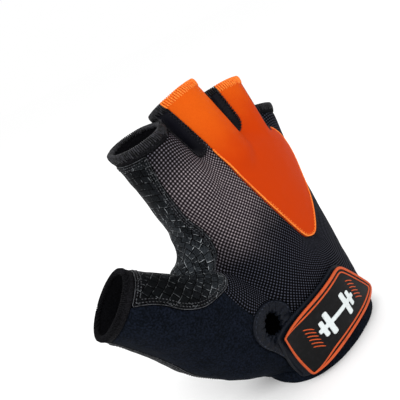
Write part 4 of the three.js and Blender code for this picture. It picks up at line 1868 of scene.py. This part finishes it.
@dataclass
class Trim:
    """The threads: bound hems, loose ends, rows of stitches, piping and zigzag."""

    skin: Skin
    body: Body
    workshop: Workshop
    bright: Overlock = Overlock()
    dark: Overlock = Overlock(pitch=0.86, deep=3.2, slant=0.18, radius=0.36, proud=0.38, uneven=0.7)
    fine: Overlock = Overlock(pitch=0.74, deep=1.7, slant=0.12, radius=0.3, proud=0.12, uneven=0.3)
    frayed: float = 5.0
    fray_step: float = 0.45
    fray_widths: tuple[float, ...] = (0.6, 0.5, 0.45, 0.4, 0.3)
    shortest: float = 12.0
    rows: tuple[Seam, ...] = (
        # The grip's rows are sewn with the thread flecked pale for painted glints.
        Seam("grip_stitches", "palm_grip", (1.3, 2.4), 1.3, 0.21, Slot.HEM, "sheen_thread"),
        Seam("seam_stitches", "orange_back", (0.15,), 1.3, 0.24, Slot.HEM, "black_thread"),
        Seam("facing_stitches", "keyhole_facing", (0.8,), 2.2, 0.24, Slot.NEOPRENE, "navy_thread"),
        Seam("orange_stitches", "orange_back", (1.25,), 1.5, 0.16, Slot.ORANGE, "orange_thread", 78.0),
    )

    def hems(self) -> None:
        """Binds the finger and thumb ends, in orange where the orange panel ends."""
        for name in ("index", "middle", "ring", "pinky", "thumb"):
            rim = self.skin.rims[name]
            stretches = [rim]
            if name in ("middle", "ring"):
                on_panel = self.on_panel(rim.places)
                bright = self.bind(f"{name}_overlock", self.bright, rim.kept(on_panel))
                self.workshop.piece(bright.build(), Slot.ORANGE, "orange_thread", (f"{name}_hem",))
                stretches = rim.kept(~on_panel)
            stitches = self.fine if name == "thumb" else self.dark
            dark = self.bind(f"{name}_edge_stitches", stitches, stretches)
            if name == "index":
                self.fray(dark, rim)
            self.workshop.piece(dark.build(), Slot.HEM, "hem" if name == "thumb" else "black_thread")

    def bind(self, name: str, stitches: Overlock, stretches: Sequence[Path]) -> Thread:
        """Binds stretches of a rim with a new thread.

        Args:
            name: the thread's name.
            stitches: how it is sewn.
            stretches: the stretches.

        Returns:
            The thread.
        """
        thread = Thread(name, stitches.radius)
        for path in stretches:
            stitches.sew(thread, self.skin, path)
        return thread

    def on_panel(self, places: Array) -> Array:
        """Which places of a rim are the orange panel's.

        Args:
            places: the places.

        Returns:
            Whether each is.
        """
        regions = self.skin.pattern.regions()
        panel = regions["orange_back"](places) < 0
        for name in ("palm_grip", "gusset_index_middle", "gusset_middle_ring", "gusset_ring_pinky"):
            panel &= regions[name](places) > 0
        return panel

    def off_gussets(self, places: Array, by: float = 1.4) -> Array:
        """Which places are well away from the gussets between the fingers."""
        regions = self.skin.pattern.regions()
        away = [regions[f"gusset_{pair}"](places) > by for pair in self.skin.pattern.slits]
        return np.all(away, axis=0)

    def fray(self, thread: Thread, rim: Path) -> None:
        """Adds the loose thread ends at the index finger's hem, next to the gusset.

        Args:
            thread: the thread that they are added to.
            rim: the line round the hem.
        """
        even = rim.spaced(self.fray_step)
        corner = even.places[(even.places[:, 0] - even.places[:, 1]).argmax()]
        near = np.linalg.norm(even.places - corner, axis=1) < self.frayed
        outward = self.skin.pattern.fingers["index"].frame()[0]
        t = np.linspace(0, 1, len(self.fray_widths))[:, None]
        for place, normal, tangent in zip(even.places[near], even.normals[near], even.tangents()[near]):
            length = 0.6 + 2.2 * abs(noise.noise(Vector(place) * 2.3))
            lean = noise.noise(Vector(place) * 1.7 + Vector((9, 0, 0)))
            curl = normal * (0.5 + 1.2 * t * t * (0.3 + lean)) + tangent * (2.4 * lean * t)
            thread.strand(place + outward * (length * t) + curl, self.fray_widths)

    def seams(self) -> None:
        """Sews the rows along the seams, and on the grip the thread of the seam itself."""
        for seam in self.rows:
            thread = Thread(seam.name, seam.radius)
            sheet = self.body.sheets[seam.on]
            for level in seam.levels:
                for path in sheet.contours(sheet.seam_gap, level):
                    for stretch in path.kept(path.places[:, 2] < seam.below):
                        if stretch.length() > 3 * seam.pitch:
                            thread.stitches(stretch, seam.pitch)
            if seam.on == "palm_grip":
                self.edge(thread, sheet)
            self.workshop.piece(thread.build(), seam.slot, seam.finish)

    def edge(self, thread: Thread, sheet: Sheet) -> None:
        """Lays a thread along a piece's edge.

        Args:
            thread: the thread.
            sheet: the piece.
        """
        level, step, lift, width = 0.35, 0.9, 0.12, 0.75
        for path in sheet.contours(sheet.seam_gap, level):
            if path.length() > self.shortest:
                even = path.smoothed().spaced(step)
                widths = np.full(len(even.places), width)
                thread.strand(even.lifted(lift).places, widths, even.closed)

    def piping(self) -> None:
        """Lays the folded edge round the orange panel."""
        radius, level, rounds, step, lift = 0.42, 0.45, 4, 0.8, 0.02
        sheet = self.body.sheets["orange_back"]
        piping = Thread("orange_piping", radius)
        for path in sheet.contours(sheet.seam_gap, level):
            for stretch in path.kept(self.off_gussets(path.places)):
                if stretch.length() > self.shortest:
                    even = stretch.smoothed(rounds).spaced(step).lifted(lift)
                    piping.strand(even.places, closed=even.closed)
        self.workshop.piece(piping.build(), Slot.ORANGE, "orange_thread")

    def zigzag(self) -> None:
        """Sews the zigzag on the gussets between the fingers."""
        radius, level, pitch, swing, lift = 0.17, 0.25, 1.5, 0.75, 0.75
        thread = Thread("gusset_zigzag", radius)
        for pair in self.skin.pattern.slits:
            gusset = self.body.sheets[f"gusset_{pair}"]
            for path in gusset.contours(gusset.seam_gap, level):
                thread.zigzag(path, pitch, swing, lift)
        self.workshop.piece(thread.build(), Slot.HEM, "black_thread")


@dataclass(frozen=True)
class Corner:
    """A corner of the badge, seen along Y."""

    x: float
    z: float
    round: float
    tab: float


@dataclass(frozen=True)
class BorderLine:
    """One raised line round the badge: its edges' insets, along it and at the short end."""

    name: str
    outer: Pair
    inner: Pair
    lower: float = 0.0


@dataclass
class Closure:
    """The cloth tab on the back of the wrist and the rubber badge on it."""

    skin: Skin
    workshop: Workshop
    corners: tuple[Corner, ...] = (
        Corner(-40.2, 28, 0.8, 2.2),
        Corner(-27, 31.3, 5, 1),
        Corner(-12, 33.4, 6, 0.8),
        Corner(4.6, 35.2, 4, 0.8),
        Corner(24.2, 10.7, 3.4, 0.8),
        Corner(10, 9.8, 6, 0.8),
        Corner(-8, 8.8, 8, 0.8),
        Corner(-22, 6.8, 6, 1),
        Corner(-33.2, 3.6, 0.8, 1.0),
    )
    short_end: tuple[int, int] = (0, 8)
    sharpest: float = 0.7
    box: Four = (-46, 29, 0, 40)
    cell: float = 0.6
    tab_heights: Pair = (0.1, 2.1)
    tab_roll: float = 0.8
    base_heights: Pair = (1.9, 3.8)
    base_roll: float = 0.45
    raised: float = 0.36
    lines: tuple[BorderLine, ...] = (
        BorderLine("outer", (0.1, 0.05), (1.3, 0.7)),
        BorderLine("inner", (2.3, 0.3), (3.0, 0.65), lower=0.06),
    )
    fold_out: float = 1.0
    motif: Pair = (-11, 20)
    motif_turn: float = 0.09
    motif_box: Four = (-27, 5, 11, 29)
    motif_cell: float = 0.3
    motif_bars: tuple[Four, ...] = (
        (0, 13, 1.0, 0.5), (6.4, 1.5, 5.5, 0.8), (10.2, 1.2, 3.7, 0.7),
    )
    rib_rows: tuple[float, float, int] = (-4.6, 4.6, 6)
    rib_aside: float = 16.2
    rib_tilt: float = -0.62
    rib_half: float = 2.7
    rib_bend: float = 0.35
    probe_x: Triple = (-43, 28, 1.5)
    probe_z: Triple = (0.5, 38, 1.5)
    spread: float = 30
    degrees: tuple[int, int] = (4, 2)
    fit: Array = field(default_factory=lambda: np.zeros(0))

    def terms(self, x: Array, z: Array) -> Array:
        """The terms of the smooth surface that the closure lies on."""
        x, z = np.asarray(x, float) / self.spread, np.asarray(z, float) / self.spread
        powers = (range(degree + 1) for degree in self.degrees)
        return np.stack([x**i * z**j for i, j in product(*powers)], axis=-1)

    def settle(self) -> None:
        """Fits a smooth surface to the back of the wrist under the closure."""
        margin, steepest = 2.0, -0.35
        outline = self.outline(margin)
        spots, depths = [], []
        for x, z in product(np.arange(*self.probe_x), np.arange(*self.probe_z)):
            if outline_distance(np.array([[x, 0, z]]), outline)[0] > 0:
                continue
            hit, normal, _, _ = self.skin.tree.ray_cast(Vector((x, -FAR, z)), Vector((0, 1, 0)))
            if hit and normal.y < steepest:
                spots.append((x, z))
                depths.append(hit.y)
        spots = np.array(spots)
        terms = self.terms(spots[:, 0], spots[:, 1])
        self.fit = np.linalg.lstsq(terms, np.array(depths), rcond=None)[0]

    def laid(self, flat: Array, height: Array | float) -> Array:
        """Places on the closure's surface.

        Args:
            flat: X and Z of each place.
            height: how far each stands off the surface.

        Returns:
            The places.
        """
        step, rounds, share = 0.05, 8, 0.8
        foot = np.array(flat, float)
        for _ in range(rounds):
            x, z = foot[:, 0], foot[:, 1]
            y = self.terms(x, z) @ self.fit
            slope_x = (self.terms(x + step, z) @ self.fit - y) / step
            slope_z = (self.terms(x, z + step) @ self.fit - y) / step
            normal = np.stack([slope_x, -np.ones_like(x), slope_z], axis=1)
            normal /= np.linalg.norm(normal, axis=1)[:, None]
            places = np.stack([x, y, z], axis=1) + normal * np.reshape(height, (-1, 1))
            foot = foot + share * (flat - places[:, [0, 2]])
        return places

    def outline(self, by: float | Array) -> Array:
        """The badge's outline.

        Args:
            by: how far it is grown, the same all round or one for each corner.

        Returns:
            X and Z of its points, its corners round.
        """
        corner_steps, edge_steps = 6, 10
        by = np.broadcast_to(np.asarray(by, float), (len(self.corners),))
        points = grown(np.array([(corner.x, corner.z) for corner in self.corners]), by)
        arcs = []
        for index, corner in enumerate(self.corners):
            reach = max(self.sharpest, corner.round + by[index] / 2)
            point = points[index]
            before = point + unit(points[index - 1] - point) * reach
            after = point + unit(points[(index + 1) % len(points)] - point) * reach
            t = np.linspace(0, 1, corner_steps + 1)[:, None]
            arcs.append((1 - t) ** 2 * before + 2 * t * (1 - t) * point + t**2 * after)
        line = []
        for index, arc in enumerate(arcs):
            following = arcs[(index + 1) % len(arcs)][0]
            t = np.linspace(0, 1, edge_steps + 1)[1:-1, None]
            line.append(np.vstack([arc, arc[-1] * (1 - t) + following * t]))
        path = np.vstack(line)
        for _ in range(2):
            path = (np.roll(path, 1, axis=0) + 2 * path + np.roll(path, -1, axis=0)) / 4
        return path

    def plate(self, distance: Distances, box: Four, cell: float, heights: Pair, roll: float) -> BMesh:
        """A plate that follows the closure's surface.

        Args:
            distance: the plate's region, negative inside.
            box: lowest X, highest X, lowest Z and highest Z of the region.
            cell: the size of its faces.
            heights: its underside and its top.
            roll: how far its top edge is rounded.

        Returns:
            The plate as a closed mesh.
        """
        low_x, high_x, low_z, high_z = box
        sheet = bmesh.new()
        bmesh.ops.create_grid(
            sheet,
            x_segments=round((high_x - low_x) / cell),
            y_segments=round((high_z - low_z) / cell),
            size=0.5,
        )
        for vert in sheet.verts:
            across, up = vert.co.x + 0.5, vert.co.y + 0.5
            vert.co = (low_x + across * (high_x - low_x), 0, low_z + up * (high_z - low_z))
        plate = cut_sheet(sheet, distance)
        sheet.free()
        low, high = heights
        flat = np.array([vert.co for vert in plate.verts])
        gap = np.maximum(0, -distance(flat))
        top = self.laid(flat[:, [0, 2]], high - roll * shoulder(gap, roll))
        for vert, place in zip(plate.verts, top):
            vert.co = place
        bmesh.ops.recalc_face_normals(plate, faces=plate.faces[:])
        if sum(face.normal.y for face in plate.faces) > 0:
            bmesh.ops.reverse_faces(plate, faces=plate.faces[:])
        bmesh.ops.solidify(plate, geom=plate.faces[:], thickness=high - low - roll)
        return plate

    def layer(self, name: str, outline: Array, heights: Pair, roll: float) -> Object:
        """A plate with an outline, as an object."""
        region = partial(outline_distance, outline=outline)
        return object_of(name, self.plate(region, self.box, self.cell, heights, roll))

    def band(self, profile: Sequence[tuple[float | Array, float]]) -> BMesh:
        """A closed band round the badge.

        Args:
            profile: the inset and the height of each line that the band runs through.

        Returns:
            The band as a new mesh.
        """
        band = bmesh.new()
        loops = [
            add_ring(band, self.laid(self.outline(-np.asarray(inset)), height))
            for inset, height in profile
        ]
        for low, high in zip(loops, loops[1:] + loops[:1]):
            bmesh.ops.bridge_loops(band, edges=low + high)
        bmesh.ops.recalc_face_normals(band, faces=band.faces[:])
        return band

    def insets(self, along_it: float, at_end: float) -> Array:
        """An inset for each corner, another one at the short end."""
        values = np.full(len(self.corners), along_it)
        values[list(self.short_end)] = at_end
        return values

    def rim(self, line: BorderLine) -> None:
        """Builds a raised border line with a rounded top.

        Args:
            line: the line.
        """
        sunk, soft = 0.3, 0.22
        top = self.base_heights[1]
        low, high = top - sunk, top + self.raised - line.lower
        outer, inner = self.insets(*line.outer), self.insets(*line.inner)
        edge = (inner - outer) * 0.5
        soft_in = np.minimum(soft, edge * 0.8)
        profile = [
            (outer, low),
            (outer, high - soft),
            (outer + soft_in * 0.35, high - soft * 0.3),
            (outer + soft_in, high),
            (inner - soft_in, high),
            (inner - soft_in * 0.35, high - soft * 0.3),
            (inner, high - soft),
            (inner, low),
        ]
        made = object_of(f"badge_rim_{line.name}_line", self.band(profile))
        self.workshop.piece(made, Slot.BORDER, "border", (f"badge_rim_{line.name}",))

    def motif_distance(self, places: Array) -> Array:
        """The barbell's region: its bar and its plates, corners rounded.

        Args:
            places: the places.

        Returns:
            How far each is outside, negative inside.
        """
        turn = self.motif_turn
        spot = places[:, [0, 2]] - np.array(self.motif)
        x = spot[:, 0] * math.cos(turn) + spot[:, 1] * math.sin(turn)
        z = spot[:, 1] * math.cos(turn) - spot[:, 0] * math.sin(turn)
        nearest = np.full(len(x), np.inf)
        for at_x, half, high, round_by in self.motif_bars:
            across = np.abs(np.abs(x) - at_x) if at_x else np.abs(x)
            gap = np.stack([across - half + round_by, np.abs(z) - high + round_by])
            outside = np.linalg.norm(np.maximum(gap, 0), axis=0)
            nearest = np.minimum(nearest, outside + np.minimum(gap.max(axis=0), 0) - round_by)
        return nearest

    def build(self) -> None:
        """Builds the tab, the badge and what is raised on it."""
        self.settle()
        sunk, soft = 0.2, 0.3
        tab = self.outline(np.array([corner.tab for corner in self.corners]))
        made = self.layer("closure_cloth", tab, self.tab_heights, self.tab_roll)
        self.workshop.piece(made, Slot.NEOPRENE, "facing", ("closure_tab",))
        made = self.layer("badge_plate", self.outline(0), self.base_heights, self.base_roll)
        self.workshop.piece(made, Slot.RUBBER, "rubber", ("badge_base",))
        for line in self.lines:
            self.rim(line)
        top = self.base_heights[1]
        heights = (top - sunk, top + self.raised)
        barbell = self.plate(self.motif_distance, self.motif_box, self.motif_cell, heights, soft)
        made = object_of("badge_barbell_print", barbell)
        self.workshop.piece(made, Slot.PRINT, "print", ("badge_barbell",))
        for side, name in ((-1, "radial"), (1, "ulnar")):
            self.ribs(side, name)
        self.fold()

    def fold(self) -> None:
        """The folded end of the cloth tab, beside the badge's short end."""
        radius, roundness, sunk = 0.45, 2, 0.15
        ridge = Thread("closure_fold", radius, roundness)
        low, high = (self.corners[index] for index in reversed(self.short_end))
        ends = np.array([(low.x, low.z), (high.x, high.z)])
        line = unit(ends[1] - ends[0])
        aside = np.array([-line[1], line[0]]) * self.fold_out
        t = np.linspace(0.04, 0.96, 24)[:, None]
        flat = ends[0] * (1 - t) + ends[1] * t + aside
        ridge.strand(self.laid(flat, self.tab_heights[1] - sunk))
        self.workshop.piece(ridge.build(), Slot.NEOPRENE, "facing")

    def ribs(self, side: int, name: str) -> None:
        """The curved grip lines on one side of the barbell.

        Args:
            side: -1 to the thumb, 1 to the little finger.
            name: the side's name.
        """
        radius, lift = 0.25, 0.08
        lines = Thread(f"badge_ribs_{name}", radius)
        turn = self.motif_turn
        t = np.linspace(-1, 1, 9)
        for row in np.linspace(*self.rib_rows):
            x = side * self.rib_aside + self.rib_half * t * math.cos(self.rib_tilt)
            z = row + self.rib_half * t * math.sin(self.rib_tilt) + self.rib_bend * (1 - t * t)
            flat = np.stack(
                [x * math.cos(turn) - z * math.sin(turn), x * math.sin(turn) + z * math.cos(turn)],
                axis=1,
            )
            places = self.laid(flat + np.array(self.motif), self.base_heights[1] + lift)
            lines.strand(places, np.clip(1.6 * np.sqrt(1.02 - t * t), 0.4, 1.0))
        nodes = tuple(f"badge_rib_{name}_{count}" for count in (1, 2, 3))
        self.workshop.piece(lines.build(), Slot.BORDER, "border", nodes)


@dataclass(frozen=True)
class Lamp:
    """A square light: where it is and how wide, in metres, and its power in watts."""

    name: str
    place: Triple
    size: float
    power: float


@dataclass(frozen=True)
class Studio:
    """The floor, the lights and the camera."""

    camera: Triple = (-199.4, -178.1, 158.8)
    azimuth: float = -42.6
    elevation: float = 15.1
    roll: float = 26.0
    lens: float = 55.8
    floor_radius: float = 20.0
    paper: int = 0xF2F2F2
    paper_grain: int = 0xEFEFEF
    matt: float = 0.9
    glow: float = 0.12
    lit: Triple = (-0.02, 0, 0.07)
    lamps: tuple[Lamp, ...] = (
        Lamp("key", (-0.65, -0.45, 0.95), size=0.5, power=6.0),
        Lamp("fill", (0.75, -0.75, 0.45), size=1.0, power=0.6),
        Lamp("back", (0.1, 0.9, 0.8), size=0.9, power=1.0),
    )

    def build(self) -> None:
        """Sets the stage."""
        self.floor()
        self.lights()
        self.aim()

    def floor(self) -> None:
        """A pale floor that runs on into a background of the same white."""
        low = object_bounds()[0].z
        sweep = bmesh.new()
        bmesh.ops.create_circle(sweep, cap_ends=True, segments=64, radius=self.floor_radius)
        bmesh.ops.translate(sweep, verts=sweep.verts[:], vec=(0, 0, low))
        floor = object_of("floor", sweep)
        graph = Graph("paper")
        grain = graph.noise(graph.place(), 0.05)
        colour = graph.mix(grain, self.paper, self.paper_grain)
        floor.data.materials.append(graph.finish(colour, self.matt, 0.0, self.glow))
        floor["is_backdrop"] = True
        world = bpy.data.worlds.new("studio")
        bpy.context.scene.world = world
        world.use_nodes = True
        background = world.node_tree.nodes["Background"]
        background.inputs["Color"].default_value = (1, 1, 1, 1)
        background.inputs["Strength"].default_value = 1.0

    def lights(self) -> None:
        """Soft light from the upper left, a fill and a light from behind."""
        for lamp in self.lamps:
            data = bpy.data.lights.new(lamp.name, "AREA")
            data.size = lamp.size
            data.energy = lamp.power
            made = bpy.data.objects.new(lamp.name, data)
            made.location = lamp.place
            towards = Vector(self.lit) - Vector(lamp.place)
            made.rotation_euler = towards.to_track_quat("-Z", "Y").to_euler()
            bpy.context.scene.collection.objects.link(made)

    def aim(self) -> None:
        """Makes the camera at the photograph's viewing angle."""
        a, e, r = (math.radians(angle) for angle in (self.azimuth, self.elevation, self.roll))
        back = Vector((math.sin(a) * math.cos(e), -math.cos(a) * math.cos(e), math.sin(e)))
        level = Vector((math.cos(a), math.sin(a), 0))
        above = back.cross(level)
        right = level * math.cos(r) - above * math.sin(r)
        up = level * math.sin(r) + above * math.cos(r)
        data = bpy.data.cameras.new("camera")
        data.lens = self.lens
        data.clip_start, data.clip_end = 0.01, 50
        camera = bpy.data.objects.new("camera", data)
        turned = Matrix((right, up, back)).transposed().to_4x4()
        camera.matrix_world = Matrix.Translation(Vector(self.camera) * METRES) @ turned
        bpy.context.scene.collection.objects.link(camera)
        bpy.context.scene.camera = camera


def finishes() -> dict[str, Material]:
    """Makes every material of the glove.

    Returns:
        The materials by their finishes' names.
    """
    sewn_thread = {"rough": 0.5, "relief": 0.1}
    made = {
        "mesh": KnitMesh(),
        "orange": Satin(),
        # The gusset cloth gets the same painted light and shade.
        "gusset": Satin("gusset_cloth", 0x101018, 0x07070A, rough=0.45, specular=0.08),
        "grip": TiledLeather(),
        "neoprene": Plush("neoprene", 0x05080D, 0x121722, rough=0.85, grain=1.3),
        "facing": Plush("facing_satin", 0x070A10, 0x121620, rough=0.5, grain=1.6, relief=0.12,
                        specular=0.1),
        "hem": Plush("hem_knit", 0x080809, 0x19191C, rough=0.85, grain=2.2, relief=0.3, rib=0.9),
        "lining": Plush("lining", 0x09090B, 0x141417, rough=0.95, grain=1.8, relief=0.3),
        # The black thread's pale fleck is partly painted highlight.
        "black_thread": Plush("black_thread", 0x060607, 0x2C2C31, grain=0.9, specular=0.2,
                              **sewn_thread),
        "navy_thread": Plush("navy_thread", 0x0C1019, 0x2A3040, grain=0.9, specular=0.2,
                             **sewn_thread),
        # Painted glints: the grip's stitch thread is flecked pale grey so that its stitches show as
        # glints.
        "sheen_thread": Plush("sheen_thread", 0x141416, 0x4A4B50, grain=1.2, specular=0.25,
                             **sewn_thread),
        # The orange thread's pale fleck is partly painted highlight on the overlock ridges and the
        # piping.
        "orange_thread": Plush("orange_thread", 0xD9560F, 0xF9983F, grain=2.5, specular=0.1,
                               **sewn_thread),
        "rubber": Moulded("badge_rubber", 0x070708, 0x121214, specular=0.12),
        "border": Moulded("badge_border", 0xC05026, 0xAA4521, rough=0.48, specular=0.15),
        "print": Moulded("badge_print", 0xD3DADA, 0xC2C9C9),
    }
    return {name: finish.make() for name, finish in made.items()}


def main() -> None:
    """Builds the glove on its frame and sets the stage."""
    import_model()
    bpy.context.scene.view_settings.view_transform = "Standard"
    hand = HandForm()
    form = hand.build(FINGERS.values(), SLITS.values())
    skin = Skin(form, Pattern(FINGERS, SLITS, hand.thumb_end()))
    bpy.data.objects.remove(form)
    workshop = Workshop(finishes())
    body = Body(skin, workshop)
    body.cut_out()
    trim = Trim(skin, body, workshop)
    trim.hems()
    trim.seams()
    trim.piping()
    trim.zigzag()
    body.dress()
    Closure(skin, workshop).build()
    Studio().build()


if __name__ == "__main__":
    logging.basicConfig(level=logging.INFO, format="%(message)s")
    main()
